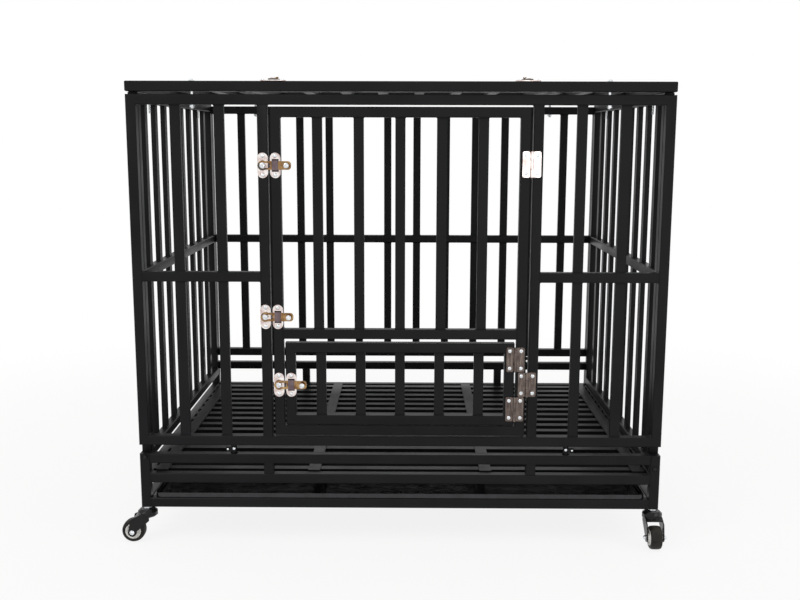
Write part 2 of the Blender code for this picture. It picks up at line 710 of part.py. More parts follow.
def build_side_panel(side):
    """Make a side wall around its fold pivot, which is the origin of the result."""
    bottom = SIDE_BOTTOMS[side]
    half_length = INNER_HALF_DEPTH - SEAT_GAP
    body = tube_ring(half_length, bottom, SIDE_TOP)
    rails = bmesh.new()
    add_rail(rails, MID_RAIL_LEVEL, -half_length + TUBE, half_length - TUBE)
    bars = bmesh.new()
    add_grille(bars, 0, SIDE_BAR_COUNT, SIDE_BAR_PITCH, bottom + TUBE, SIDE_TOP - TUBE)
    body = unite(unite(body, rails), bars)
    body = moved(body, Matrix.Translation((SIDE_SIGNS[side] * POST_OFFSET, 0, 0)) @ FACE_SIDE)
    pivot = Vector((SIDE_SIGNS[side] * PIVOT_OFFSET, 0, bottom + HALF_TUBE))
    bores = []
    for y_sign in END_SIGNS.values():
        depth = PIVOT_REACH + PIVOT_CLEARANCE
        bore = rod(PIVOT_RADIUS + PIVOT_CLEARANCE, -depth, depth)
        place = Matrix.Translation(pivot + Vector((0, y_sign * half_length, 0))) @ ALONG_Y
        bores.append(moved(bore, place))
    body = cut(body, joined(bores))
    return moved(body, Matrix.Translation(-pivot)), pivot


def build_main_door():
    body = tube_ring(DOOR_HALF_WIDTH, DOOR_BOTTOM, DOOR_TOP)
    rails = bmesh.new()
    add_rail(rails, WINDOW_TOP + HALF_TUBE, -WINDOW_HALF_WIDTH, WINDOW_HALF_WIDTH)
    bars = bmesh.new()
    add_grille(bars, 0, DOOR_BAR_COUNT, DOOR_BAR_PITCH, WINDOW_TOP + TUBE, DOOR_TOP - TUBE)
    body = unite(unite(body, rails), bars)
    return moved(body, Matrix.Translation(Vector((0, -POST_DEPTH_OFFSET, 0)) - DOOR_AXIS))


def build_feeding_door():
    body = tube_ring(FEEDING_HALF_WIDTH, FEEDING_BOTTOM, FEEDING_TOP)
    bars = bmesh.new()
    add_grille(bars, 0, FEEDING_BAR_COUNT, FEEDING_BAR_PITCH, FEEDING_BOTTOM + TUBE, FEEDING_TOP - TUBE)
    body = unite(body, bars)
    return moved(body, Matrix.Translation(Vector((0, -POST_DEPTH_OFFSET, 0)) - FEEDING_AXIS))


def build_roof():
    """Make the roof panel flat in the XZ plane, with its front edge down, then lay it on the walls."""
    body = tube_ring(HALF_WIDTH, -HALF_DEPTH, HALF_DEPTH)
    posts = bmesh.new()
    rails = bmesh.new()
    bars = bmesh.new()
    hatch_post = HATCHWAY_WIDTH / 2 + HALF_TUBE
    for x_sign in SIDE_SIGNS.values():
        add_upright(posts, x_sign * hatch_post, -INNER_HALF_DEPTH, INNER_HALF_DEPTH)
        ends = sorted((x_sign * (hatch_post + HALF_TUBE), x_sign * INNER_HALF_WIDTH))
        add_rail(rails, 0, ends[0], ends[1])
        add_grille(
            bars, sum(ends) / 2, ROOF_FLANK_BAR_COUNT, ROOF_FLANK_BAR_PITCH,
            -INNER_HALF_DEPTH, INNER_HALF_DEPTH,
        )
    body = unite(unite(unite(body, posts), rails), bars)
    body = moved(body, Matrix.Translation((0, 0, ROOF_TOP - HALF_TUBE)) @ LAY_FLAT)
    bores = []
    for end, y_sign in END_SIGNS.items():
        pair = roof_bolt_bores(end, ROOF_BOTTOM, ROOF_TOP)
        bores.append(moved(pair, Matrix.Translation((0, y_sign * POST_DEPTH_OFFSET, 0))))
    return cut(body, joined(bores))


def build_hatch():
    middle = (HATCH_FRONT + HATCH_REAR) / 2
    half_depth = (HATCH_REAR - HATCH_FRONT) / 2
    body = tube_ring(HATCH_HALF_WIDTH, -half_depth, half_depth)
    rails = bmesh.new()
    add_rail(rails, -middle, -HATCH_HALF_WIDTH + TUBE, HATCH_HALF_WIDTH - TUBE)
    bars = bmesh.new()
    add_grille(bars, 0, HATCH_BAR_COUNT, HATCH_BAR_PITCH, TUBE - half_depth, half_depth - TUBE)
    body = unite(unite(body, rails), bars)
    place = Matrix.Translation(Vector((0, middle, ROOF_TOP - HALF_TUBE)) - HATCH_AXIS)
    return moved(body, place @ LAY_FLAT)


def hinge_leaf(x_sign, knuckle_spans):
    """Make a butt hinge's leaf about its pin, with tongues that carry its knuckles."""
    outer = HINGE_STANDOFF - SEAT_GAP
    half = HINGE_LENGTH / 2
    root = HINGE_STANDOFF
    left, right = sorted((x_sign * root, x_sign * HINGE_LEAF_REACH))
    leaf = plate(
        rounded_outline(left, right, -half, half, HINGE_LEAF_CORNER, 2),
        outer - HINGE_LEAF_SHEET, outer,
    )
    tongues = []
    for bottom, top in knuckle_spans:
        near, far = sorted((x_sign * HINGE_TONGUE_START, x_sign * (root + WELD_DEPTH)))
        tongues.append(box(
            (near, outer - HINGE_LEAF_SHEET + HINGE_TONGUE_INSET, bottom + KNUCKLE_GAP),
            (far, outer - HINGE_TONGUE_INSET, top - KNUCKLE_GAP),
        ))
    return unite(leaf, joined(tongues))


def build_hinge_leaves():
    """Make a hinge's two leaves: the fixed one holds the pin, the moving one turns on it."""
    half = HINGE_LENGTH / 2
    split = HINGE_LENGTH / 6
    fixed_profile = (
        (0, half),
        (KNUCKLE_RADIUS, half),
        (KNUCKLE_RADIUS, split + KNUCKLE_GAP),
        (HINGE_PIN_RADIUS, split + KNUCKLE_GAP),
        (HINGE_PIN_RADIUS, -split - KNUCKLE_GAP),
        (KNUCKLE_RADIUS, -split - KNUCKLE_GAP),
        (KNUCKLE_RADIUS, -half),
        (0, -half),
    )
    fixed = hinge_leaf(1, ((split + KNUCKLE_GAP, half), (-half, -split - KNUCKLE_GAP)))
    fixed = unite(fixed, turned(fixed_profile, ROUND_FACET_COUNT))
    bore = HINGE_PIN_RADIUS + HINGE_PIN_CLEARANCE
    knuckle_profile = ((KNUCKLE_RADIUS, split), (KNUCKLE_RADIUS, -split), (bore, -split), (bore, split))
    moving = unite(hinge_leaf(-1, ((-split, split),)), turned(knuckle_profile, ROUND_FACET_COUNT, closed=True))
    return mesh_from("fixed hinge leaf", fixed, True), mesh_from("moving hinge leaf", moving, True)


def latch_plate(x):
    half_width = LATCH_PLATE_WIDTH / 2
    half_length = LATCH_PLATE_LENGTH / 2
    outline = rounded_outline(
        x - half_width, x + half_width, -half_length, half_length, half_width - MERGE_DISTANCE,
    )
    return plate(outline, -SEAT_GAP, -SEAT_GAP - LATCH_PLATE_SHEET)


def build_keeper():
    """Make the plate with the headed stud that the bolt's keyhole catches."""
    face = SEAT_GAP + LATCH_PLATE_SHEET
    bolt_top = face + SEAT_GAP + LATCH_BOLT_SHEET
    head_seat = bolt_top + LATCH_CLEARANCE
    dome = LATCH_HEAD_HEIGHT / 2
    profile = (
        (0, head_seat + LATCH_HEAD_HEIGHT),
        (LATCH_HEAD_RADIUS * CROWN_SHARE, head_seat + LATCH_HEAD_HEIGHT),
        (LATCH_HEAD_RADIUS, head_seat + dome),
        (LATCH_HEAD_RADIUS, head_seat),
        (LATCH_STUD_RADIUS, head_seat),
        (LATCH_STUD_RADIUS, face - WELD_DEPTH),
        (0, face - WELD_DEPTH),
    )
    stud = moved(turned(profile, ROUND_FACET_COUNT), ALONG_Y)
    return mesh_from("keeper", unite(latch_plate(0), stud), True)


def build_guide():
    """Make the plate on the door's side, with the strap that the bolt slides under."""
    inner_top = SEAT_GAP + LATCH_PLATE_SHEET + SEAT_GAP + LATCH_BOLT_SHEET + LATCH_CLEARANCE
    outer_top = inner_top + LATCH_STRAP_SHEET
    inner = LATCH_BOLT_HEIGHT / 2 + LATCH_CLEARANCE
    outer = inner + LATCH_STRAP_SHEET
    foot = SEAT_GAP + LATCH_PLATE_SHEET - WELD_DEPTH
    outline = (
        (-outer, foot), (-outer, outer_top - TUBE_CORNER), (TUBE_CORNER - outer, outer_top),
        (outer - TUBE_CORNER, outer_top), (outer, outer_top - TUBE_CORNER), (outer, foot),
        (inner, foot), (inner, inner_top), (-inner, inner_top), (-inner, foot),
    )
    strap = plate(outline, LATCH_PITCH - LATCH_STRAP_WIDTH / 2, LATCH_PITCH + LATCH_STRAP_WIDTH / 2)
    turn = Matrix(((0, 1, 0, 0), (0, 0, -1, 0), (1, 0, 0, 0), (0, 0, 0, 1)))
    return mesh_from("guide", unite(latch_plate(LATCH_PITCH), moved(strap, turn)), True)


def build_bolt():
    """Make the sliding bolt: a keyhole eye at one end, a knob at the other."""
    near = SEAT_GAP + LATCH_PLATE_SHEET + SEAT_GAP
    far = near + LATCH_BOLT_SHEET
    half = LATCH_BOLT_HEIGHT / 2
    shoulder = math.degrees(math.asin(half / LATCH_EYE_RIM))
    outline = arc((0, 0), LATCH_EYE_RIM, shoulder, 360 - shoulder, 10)
    right = LATCH_BOLT_TAIL - LATCH_BOLT_CORNER
    outline += arc((right, -half + LATCH_BOLT_CORNER), LATCH_BOLT_CORNER, -90, 0, 3)
    outline += arc((right, half - LATCH_BOLT_CORNER), LATCH_BOLT_CORNER, 0, 90, 3)
    body = plate(outline, -near, -far)
    opening = math.degrees(math.asin(LATCH_SLOT_WIDTH / 2 / LATCH_EYE_RADIUS))
    keyhole = arc((0, 0), LATCH_EYE_RADIUS, opening, 360 - opening, 10)
    slot_end = LATCH_TRAVEL + LATCH_CLEARANCE
    keyhole += arc((slot_end, 0), LATCH_SLOT_WIDTH / 2, -90, 90, 5)
    body = cut(body, plate(keyhole, -near + WELD_DEPTH, -far - WELD_DEPTH))
    rim_top = far + LATCH_KNOB_HEIGHT - LATCH_KNOB_ROUNDING
    knob_profile = (
        (0, far + LATCH_KNOB_HEIGHT),
        (LATCH_KNOB_RADIUS * CROWN_SHARE, far + LATCH_KNOB_HEIGHT),
        (LATCH_KNOB_RADIUS, rim_top),
        (LATCH_KNOB_RADIUS, rim_top - LATCH_KNOB_RIM),
        (LATCH_KNOB_RADIUS * CROWN_SHARE, far + LATCH_KNOB_NECK),
        (LATCH_KNOB_RADIUS * CROWN_SHARE, far - WELD_DEPTH),
        (0, far - WELD_DEPTH),
    )
    place = Matrix.Translation((LATCH_BOLT_TAIL - LATCH_KNOB_INSET, 0, 0)) @ ALONG_Y
    body = unite(body, moved(turned(knob_profile, ROUND_FACET_COUNT), place))
    return mesh_from("latch bolt", body, True)


def build_pivot_bolt():
    """Make the screw that a side wall folds on, along Z, with its head at the bottom."""
    profile = (
        (0, TUBE + PIVOT_REACH),
        (PIVOT_RADIUS, TUBE + PIVOT_REACH),
        (PIVOT_RADIUS, -SEAT_GAP),
        (PIVOT_HEAD_RADIUS, -SEAT_GAP),
        (PIVOT_HEAD_RADIUS * CROWN_SHARE, -SEAT_GAP - PIVOT_HEAD_HEIGHT),
        (0, -SEAT_GAP - PIVOT_HEAD_HEIGHT),
    )
    return mesh_from("pivot bolt", turned(profile, ROUND_FACET_COUNT), True)


def build_roof_bolt():
    """Make the bolt that joins the roof to a wall, with its nut under the wall's top rail."""
    nut_top = WALL_TOP - TUBE - SEAT_GAP
    profile = (
        (0, ROOF_TOP + SEAT_GAP + BOLT_HEAD_HEIGHT),
        (BOLT_HEAD_RADIUS * CROWN_SHARE, ROOF_TOP + SEAT_GAP + BOLT_HEAD_HEIGHT),
        (BOLT_HEAD_RADIUS, ROOF_TOP + SEAT_GAP + BOLT_HEAD_RIM),
        (BOLT_HEAD_RADIUS, ROOF_TOP + SEAT_GAP),
        (ROOF_BOLT_RADIUS, ROOF_TOP + SEAT_GAP),
        (ROOF_BOLT_RADIUS, nut_top - NUT_HEIGHT - BOLT_TAIL),
        (0, nut_top - NUT_HEIGHT - BOLT_TAIL),
    )
    nut = rod(NUT_RADIUS, nut_top - NUT_HEIGHT, nut_top, 6)
    return mesh_from("roof bolt", unite(turned(profile, ROUND_FACET_COUNT), nut), True)


def build_caster_stem():
    """Make the hexagon-shouldered stem: its stud goes up into the post, its kingpin down into the fork."""
    shoulder_bottom = SWIVEL_HEAD_TOP + SEAT_GAP
    shoulder = rod(STEM_NUT_RADIUS, shoulder_bottom, CASTER_HEIGHT - SEAT_GAP, 6)
    pin = rod(KINGPIN_RADIUS, SWIVEL_HEAD_TOP - KINGPIN_REACH, CASTER_HEIGHT + STEM_REACH)
    return mesh_from("caster stem", unite(shoulder, pin), True)


def fork_outline():
    """List the fork's side view: a hood over the wheel, tapering to a round eye at the axle."""
    axle = (-CASTER_TRAIL, WHEEL_RADIUS)
    points = [(FORK_FRONT, FORK_SHOULDER_HEIGHT), (SWIVEL_HEAD_NECK - CASTER_TRAIL, FORK_SHOULDER_HEIGHT)]
    points.append((-FORK_REAR, FORK_CROWN_HEIGHT))
    points.append((-FORK_REAR - FORK_SHEET, FORK_CROWN_HEIGHT - FORK_REAR_DROP))
    points += arc(axle, FORK_END_RADIUS, 180, 370, 9)
    points.append((FORK_FRONT, FORK_CROWN_HEIGHT - FORK_FRONT_DROP))
    return points


def build_fork():
    """Make the fork around its swivel: hood, swivel head and axle, with the wheel's slot cut out."""
    inner = HUB_WIDTH / 2 + SEAT_GAP
    outer = inner + FORK_SHEET
    body = plate(fork_outline(), -outer, outer)
    slot = box((-2 * CASTER_TRAIL, -inner, 0), (2 * CASTER_TRAIL, inner, FORK_CROWN_HEIGHT))
    body = cut(body, slot)
    head_bottom = FORK_CROWN_HEIGHT + WELD_DEPTH
    head_profile = (
        (0, SWIVEL_HEAD_TOP),
        (SWIVEL_HEAD_NECK, SWIVEL_HEAD_TOP),
        (SWIVEL_HEAD_RADIUS, FORK_SHOULDER_HEIGHT + SWIVEL_HEAD_RISE),
        (SWIVEL_HEAD_RADIUS, FORK_SHOULDER_HEIGHT - SWIVEL_HEAD_FALL),
        (SWIVEL_HEAD_NECK, head_bottom),
        (0, head_bottom),
    )
    body = unite(body, turned(head_profile, HEAD_FACET_COUNT))
    axle_reach = outer + AXLE_CAP_DEPTH
    cap_seat = outer - WELD_DEPTH
    axle_profile = (
        (0, axle_reach),
        (AXLE_CAP_RADIUS, axle_reach),
        (AXLE_CAP_RADIUS, cap_seat),
        (AXLE_RADIUS, cap_seat),
        (AXLE_RADIUS, -cap_seat),
        (AXLE_CAP_RADIUS, -cap_seat),
        (AXLE_CAP_RADIUS, -axle_reach),
        (0, -axle_reach),
    )
    axle_place = Matrix.Translation((-CASTER_TRAIL, 0, WHEEL_RADIUS)) @ ALONG_Y
    body = unite(body, moved(turned(axle_profile, ROUND_FACET_COUNT), axle_place))
    kingpin_bore = rod(
        KINGPIN_RADIUS + AXLE_CLEARANCE,
        SWIVEL_HEAD_TOP - KINGPIN_REACH - SEAT_GAP, SWIVEL_HEAD_TOP + CUT_MARGIN,
    )
    return mesh_from("caster fork", cut(body, kingpin_bore), True)


def build_wheel():
    """Turn the wheel about its axle: crowned tread, recessed web and hub bosses, bored for the axle."""
    bore = AXLE_RADIUS + AXLE_CLEARANCE
    half_tread = TREAD_WIDTH / 2
    half_hub = HUB_WIDTH / 2
    shoulder = WHEEL_RADIUS - TREAD_CROWN
    half_profile = (
        (WHEEL_RADIUS, TREAD_FLAT_HALF),
        (shoulder, half_tread),
        (HUB_RADIUS, half_tread),
        (HUB_BOSS_RADIUS, HUB_WEB_HALF),
        (HUB_BOSS_RADIUS, half_hub),
        (bore, half_hub),
    )
    profile = list(half_profile) + [(radius, -height) for radius, height in reversed(half_profile)]
    wheel = moved(turned(profile, WHEEL_FACET_COUNT, closed=True), ALONG_Y)
    return mesh_from("wheel", wheel, True)


# Fixed structure
add_part("base_frame", mesh_from("base_frame", build_base_frame()), "black powder coat")
for end_name in END_SIGNS:
    sill_name = end_name + "_sill_rail"
    add_part(sill_name, mesh_from(sill_name, build_sill(end_name)), "black powder coat")
add_part("floor_grate", mesh_from("floor_grate", build_floor_grate()), "black powder coat")
add_part("front_panel", mesh_from("front_panel", build_front_panel()), "black powder coat")
add_part("back_panel", mesh_from("back_panel", build_back_panel()), "black powder coat")
add_part("top_panel", mesh_from("top_panel", build_roof()), "black powder coat")

# Moving structure, each piece under an empty on its joint's axis
door_axis = add_axis("main_door_axis", DOOR_AXIS)
feeding_axis = add_axis("feeding_door_axis", FEEDING_AXIS - DOOR_AXIS, door_axis)
hatch_axis = add_axis("top_hatch_axis", HATCH_AXIS)
add_part("main_door", mesh_from("main_door", build_main_door()), "black powder coat", parent=door_axis)
add_part(
    "feeding_door", mesh_from("feeding_door", build_feeding_door()), "black powder coat",
    parent=feeding_axis,
)
add_part("top_hatch", mesh_from("top_hatch", build_hatch()), "black powder coat", parent=hatch_axis)
for side_name in SIDE_SIGNS:
    side_shape, side_pivot = build_side_panel(side_name)
    panel_name = side_name + "_side_panel"
    add_part(panel_name, mesh_from(panel_name, side_shape), "black powder coat", side_pivot)
add_part("tray", mesh_from("tray", build_tray()), "black sheet steel")

# Hinges
fixed_leaf, moving_leaf = build_hinge_leaves()
for place_name, level in DOOR_HINGE_LEVELS.items():
    seat = Vector((DOOR_AXIS.x, DOOR_AXIS.y, level))
    add_part("door_hinge_post_leaf_" + place_name, fixed_leaf, "polished nickel", seat)
    add_part(
        "door_hinge_moving_leaf_" + place_name, moving_leaf, "polished nickel",
        seat - DOOR_AXIS, parent=door_axis,
    )
for place_name, level in FEEDING_HINGE_LEVELS.items():
    seat = Vector((FEEDING_AXIS.x, FEEDING_AXIS.y, level))
    add_part(
        "feeding_hinge_fixed_leaf_" + place_name, fixed_leaf, "polished nickel",
        seat - DOOR_AXIS, parent=door_axis,
    )
    add_part(
        "feeding_hinge_moving_leaf_" + place_name, moving_leaf, "polished nickel",
        seat - FEEDING_AXIS, parent=feeding_axis,
    )
for side_name, side_sign in SIDE_SIGNS.items():
    seat = HATCH_AXIS + Vector((side_sign * HATCH_HINGE_OFFSET, 0, 0))
    add_part("hatch_hinge_fixed_leaf_" + side_name, fixed_leaf, "polished nickel", seat, FACE_UP)
    add_part(
        "hatch_hinge_moving_leaf_" + side_name, moving_leaf, "polished nickel",
        seat - HATCH_AXIS, FACE_UP, hatch_axis,
    )

# Latches: keeper on the fixed side, guide and bolt on the side that opens
keeper_mesh = build_keeper()
guide_mesh = build_guide()
bolt_mesh = build_bolt()
for place_name, level in DOOR_LATCH_LEVELS.items():
    seat = Vector((-DOOR_POST_OFFSET, FRONT_FACE, level))
    add_part("door_latch_keeper_" + place_name, keeper_mesh, "polished nickel", seat)
    add_part(
        "door_latch_guide_" + place_name, guide_mesh, "polished nickel",
        seat - DOOR_AXIS, parent=door_axis,
    )
    add_part(
        "door_latch_bolt_" + place_name, bolt_mesh, "polished nickel",
        seat - DOOR_AXIS, parent=door_axis,
    )
seat = Vector((-DOOR_HALF_WIDTH + HALF_TUBE, FRONT_FACE, FEEDING_BOTTOM + FEEDING_LATCH_RISE))
add_part("feeding_latch_keeper", keeper_mesh, "polished nickel", seat - DOOR_AXIS, parent=door_axis)
add_part("feeding_latch_guide", guide_mesh, "polished nickel", seat - FEEDING_AXIS, parent=feeding_axis)
add_part("feeding_latch_bolt", bolt_mesh, "polished nickel", seat - FEEDING_AXIS, parent=feeding_axis)
for side_name, side_sign in SIDE_SIGNS.items():
    seat = Vector((side_sign * HATCH_LATCH_OFFSET, FRONT_FACE + HALF_TUBE, ROOF_TOP))
    add_part("hatch_latch_keeper_" + side_name, keeper_mesh, "polished nickel", seat, FACE_UP)
    local = seat - HATCH_AXIS
    add_part("hatch_latch_guide_" + side_name, guide_mesh, "polished nickel", local, FACE_UP, hatch_axis)
    add_part("hatch_latch_bolt_" + side_name, bolt_mesh, "polished nickel", local, FACE_UP, hatch_axis)

# Pivot bolts in the corner posts, and the bolts that hold the roof down
pivot_bolt_mesh = build_pivot_bolt()
roof_bolt_mesh = build_roof_bolt()
for side_name, side_sign in SIDE_SIGNS.items():
    pivot_level = SIDE_BOTTOMS[side_name] + HALF_TUBE
    for end_name, end_sign in END_SIGNS.items():
        label = side_name + "_" + end_name
        add_part(
            "pivot_bolt_" + label, pivot_bolt_mesh, "zinc plated steel",
            (side_sign * PIVOT_OFFSET, end_sign * HALF_DEPTH, pivot_level),
            Matrix.Rotation(math.radians(end_sign * 90), 4, "X"),
        )
        add_part(
            "roof_bolt_" + label, roof_bolt_mesh, "zinc plated steel",
            (side_sign * ROOF_BOLT_OFFSETS[end_name], end_sign * POST_DEPTH_OFFSET, 0),
        )

# Casters, each turned its own way: heading is the direction the wheel trails in, from -X
stem_mesh = build_caster_stem()
fork_mesh = build_fork()
wheel_mesh = build_wheel()
CASTER_HEADINGS = {"left_front": 0, "right_front": 90, "right_back": 180, "left_back": 270}
for label, heading in CASTER_HEADINGS.items():
    side_name, end_name = label.split("_")
    seat = Vector((SIDE_SIGNS[side_name] * POST_OFFSET, END_SIGNS[end_name] * POST_DEPTH_OFFSET, 0))
    add_part("caster_stem_" + label, stem_mesh, "polished nickel", seat)
    swivel = add_axis("caster_swivel_" + label, seat)
    swivel.rotation_euler = (0, 0, math.radians(heading))
    add_part("caster_fork_" + label, fork_mesh, "black gloss enamel", parent=swivel)
    axle = add_axis("caster_axle_" + label, (-CASTER_TRAIL, 0, WHEEL_RADIUS), swivel)
    add_part("caster_wheel_" + label, wheel_mesh, "black polyurethane", parent=axle)
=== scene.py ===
import json
import math
import bmesh
import bpy
from mathutils import Matrix, Vector

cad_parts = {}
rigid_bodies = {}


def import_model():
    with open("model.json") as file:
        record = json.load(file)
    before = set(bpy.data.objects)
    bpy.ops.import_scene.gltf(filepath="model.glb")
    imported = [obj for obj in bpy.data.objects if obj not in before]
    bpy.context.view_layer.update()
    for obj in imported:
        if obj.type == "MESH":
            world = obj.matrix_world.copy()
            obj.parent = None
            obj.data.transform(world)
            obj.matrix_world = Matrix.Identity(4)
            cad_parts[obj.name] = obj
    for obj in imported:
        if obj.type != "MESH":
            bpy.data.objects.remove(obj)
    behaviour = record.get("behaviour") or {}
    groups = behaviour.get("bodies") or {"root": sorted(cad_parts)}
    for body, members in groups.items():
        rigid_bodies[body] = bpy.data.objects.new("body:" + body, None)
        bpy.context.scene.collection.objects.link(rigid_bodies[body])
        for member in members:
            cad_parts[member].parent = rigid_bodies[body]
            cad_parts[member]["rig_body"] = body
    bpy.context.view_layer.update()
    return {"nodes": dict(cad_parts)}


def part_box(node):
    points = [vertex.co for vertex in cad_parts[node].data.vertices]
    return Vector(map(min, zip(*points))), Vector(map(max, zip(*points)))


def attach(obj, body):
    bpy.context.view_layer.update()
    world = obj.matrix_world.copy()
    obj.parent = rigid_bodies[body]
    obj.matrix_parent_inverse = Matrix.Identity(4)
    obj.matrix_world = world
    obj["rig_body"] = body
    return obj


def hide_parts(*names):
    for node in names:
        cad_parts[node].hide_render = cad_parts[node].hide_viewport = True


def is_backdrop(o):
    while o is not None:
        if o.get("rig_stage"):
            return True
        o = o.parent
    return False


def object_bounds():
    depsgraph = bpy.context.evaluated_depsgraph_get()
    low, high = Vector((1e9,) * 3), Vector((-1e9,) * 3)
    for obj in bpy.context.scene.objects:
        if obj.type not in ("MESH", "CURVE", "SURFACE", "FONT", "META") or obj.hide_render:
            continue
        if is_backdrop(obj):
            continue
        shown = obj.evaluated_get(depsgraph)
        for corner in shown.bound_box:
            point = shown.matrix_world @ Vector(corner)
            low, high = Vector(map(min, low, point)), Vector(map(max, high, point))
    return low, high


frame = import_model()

# Folding dog crate on casters: powder coated tube panels, nickel plated hinges and slide bolts,
# a glossy slide-out tray. The camera comes first, then the studio, the finishes and the pieces.

scene = bpy.context.scene
print("crate: frame loaded")


# the camera, fitted to the photograph: metres, degrees and millimetres of lens
photo = {
    "place": (0.014, -2.3575, 0.842),
    "tilt": 80.67,
    "turn": 0.409,
    "roll": 0.136,
    "lens": 44.37,
    "sensor": 36,
    "nearest": 0.01,
}

camera = bpy.data.objects.new("photoCamera", bpy.data.cameras.new("photoCamera"))
scene.collection.objects.link(camera)
camera.data.lens = photo["lens"]
camera.data.sensor_width = photo["sensor"]
camera.data.clip_start = photo["nearest"]
camera.matrix_world = (
    Matrix.Translation(photo["place"])
    @ Matrix.Rotation(math.radians(photo["turn"]), 4, "Z")
    @ Matrix.Rotation(math.radians(photo["tilt"]), 4, "X")
    @ Matrix.Rotation(math.radians(photo["roll"]), 4, "Z")
)
scene.camera = camera
scene.view_settings.view_transform = "Standard"
print("crate: camera placed")


def linear(hexColour):
    # an sRGB hex colour as the linear colour that shaders take
    channels = [int(hexColour[i:i + 2], 16) / 255 for i in (1, 3, 5)]
    return tuple(c / 12.92 if c <= 0.04045 else ((c + 0.055) / 1.055) ** 2.4 for c in channels) + (1.0,)


def addNode(tree, kind, inputs=None, **settings):
    # one node: its settings by name, its inputs by name or number, each a value or another node's socket
    node = tree.nodes.new(kind)
    for name, value in settings.items():
        setattr(node, name, value)
    for name, value in (inputs or {}).items():
        if isinstance(value, bpy.types.NodeSocket):
            tree.links.new(value, node.inputs[name])
        else:
            node.inputs[name].default_value = value
    return node


def startFinish(name, **values):
    # a material with its shader's own values, ready for its pattern nodes
    finish = bpy.data.materials.new(name)
    finish.use_nodes = True
    tree = finish.node_tree
    shader = tree.nodes["Principled BSDF"]
    for key, value in values.items():
        shader.inputs[key.replace("_", " ")].default_value = value
    finish.diffuse_color = shader.inputs["Base Color"].default_value
    where = addNode(tree, "ShaderNodeTexCoord").outputs["Object"]
    return finish, tree, shader, where


# meshes: how close points merge, how flat faces join, and when an edge counts as sharp or is rounded
meshing = {"merge": 0.000001, "flat": 1, "sharp": 35, "roundedFrom": 30, "roundingSteps": 2}


def nodeShape(node):
    # a CAD node's own shape, its loose triangles merged into whole faces
    bm = bmesh.new()
    bm.from_mesh(frame["nodes"][node].data)
    bmesh.ops.remove_doubles(bm, verts=bm.verts, dist=meshing["merge"])
    flat = math.radians(meshing["flat"])
    bmesh.ops.dissolve_limit(bm, angle_limit=flat, verts=bm.verts, edges=bm.edges)
    return bm


def addShape(bm, shape, where):
    # put a finished mesh into a larger one, moved to its place
    known = len(bm.verts)
    bm.from_mesh(shape)
    bm.verts.ensure_lookup_table()
    bmesh.ops.transform(bm, matrix=where, verts=bm.verts[known:])


def asMesh(name, bm, finishes, sharpFrom=meshing["sharp"]):
    mesh = bpy.data.meshes.new(name)
    bm.to_mesh(mesh)
    bm.free()
    for finish in finishes:
        mesh.materials.append(finish)
    mesh.shade_smooth()
    mesh.set_sharp_from_angle(angle=math.radians(sharpFrom))
    return mesh


def finishPiece(name, bm, body, finishes, standsFor=(), edge=0.0, sharpFrom=meshing["sharp"]):
    # a finished piece: its mesh, its rounded edges, the body it rides on and the nodes it stands for
    piece = bpy.data.objects.new(name, asMesh(name, bm, finishes, sharpFrom))
    scene.collection.objects.link(piece)
    if edge:
        rounding = piece.modifiers.new("edgeRounding", "BEVEL")
        rounding.width = edge
        rounding.segments = meshing["roundingSteps"]
        rounding.limit_method = "ANGLE"
        rounding.angle_limit = math.radians(meshing["roundedFrom"])
        rounding.harden_normals = True
    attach(piece, body)
    if standsFor:
        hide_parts(*standsFor)


def cutFlat(bm, point, normal):
    # cut away what lies behind a plane and close the cut
    cut = bmesh.ops.bisect_plane(bm, geom=bm.verts[:] + bm.edges[:] + bm.faces[:],
                                 plane_co=point, plane_no=normal, clear_inner=True)
    edges = [e for e in cut["geom_cut"] if isinstance(e, bmesh.types.BMEdge)]
    bmesh.ops.contextual_create(bm, geom=edges)


def carve(bm, cutter, finishes):
    # cut one shape out of another with a Boolean, and give back the result
    pair = [bpy.data.objects.new("carving", asMesh("carving", shape, finishes)) for shape in (bm, cutter)]
    for item in pair:
        scene.collection.objects.link(item)
    cutting = pair[0].modifiers.new("cutting", "BOOLEAN")
    cutting.object = pair[1]
    result = bmesh.new()
    result.from_object(pair[0], bpy.context.evaluated_depsgraph_get())
    for item in pair:
        bpy.data.objects.remove(item)
    return result


def addBlock(bm, corner, opposite, finish=0):
    # one block between two corners
    made = bmesh.ops.create_cube(bm, size=1)["verts"]
    bmesh.ops.scale(bm, vec=[abs(b - a) for a, b in zip(corner, opposite)], verts=made)
    bmesh.ops.translate(bm, vec=[(a + b) / 2 for a, b in zip(corner, opposite)], verts=made)
    for face in {face for vert in made for face in vert.link_faces}:
        face.material_index = finish


def bodyOf(node):
    return frame["nodes"][node]["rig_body"]


def middle(node):
    low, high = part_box(node)
    return (low + high) / 2


# the way each side faces, as a turn of what is modelled facing up
facing = {
    "front": Matrix.Rotation(math.radians(90), 4, "X"),
    "back": Matrix.Rotation(math.radians(-90), 4, "X"),
    "up": Matrix.Identity(4),
}


# the studio: white surroundings, a pale floor and four soft boxes that all point at the crate
studio = {
    "ambient": 0.62,
    "floorSize": 60,
    "floorColour": "#f4f3f1",
    "floorRoughness": 0.9,
    "nearGlow": 0.86,
    "glowFrom": 1.0,
    "glowFull": 2.2,
    "aim": (0, 0, 0.45),
}
softBoxes = {
    "keyBox": {"place": (-1.7, -2.2, 2.6), "size": 1.6, "power": 26},
    "fillBox": {"place": (2.3, -1.2, 2.0), "size": 1.4, "power": 12},
    "backBox": {"place": (0.3, 2.2, 2.4), "size": 2.0, "power": 12},
    "lowBox": {"place": (0.585, -3.0, 0.72), "size": 0.8, "power": 2.5},
}


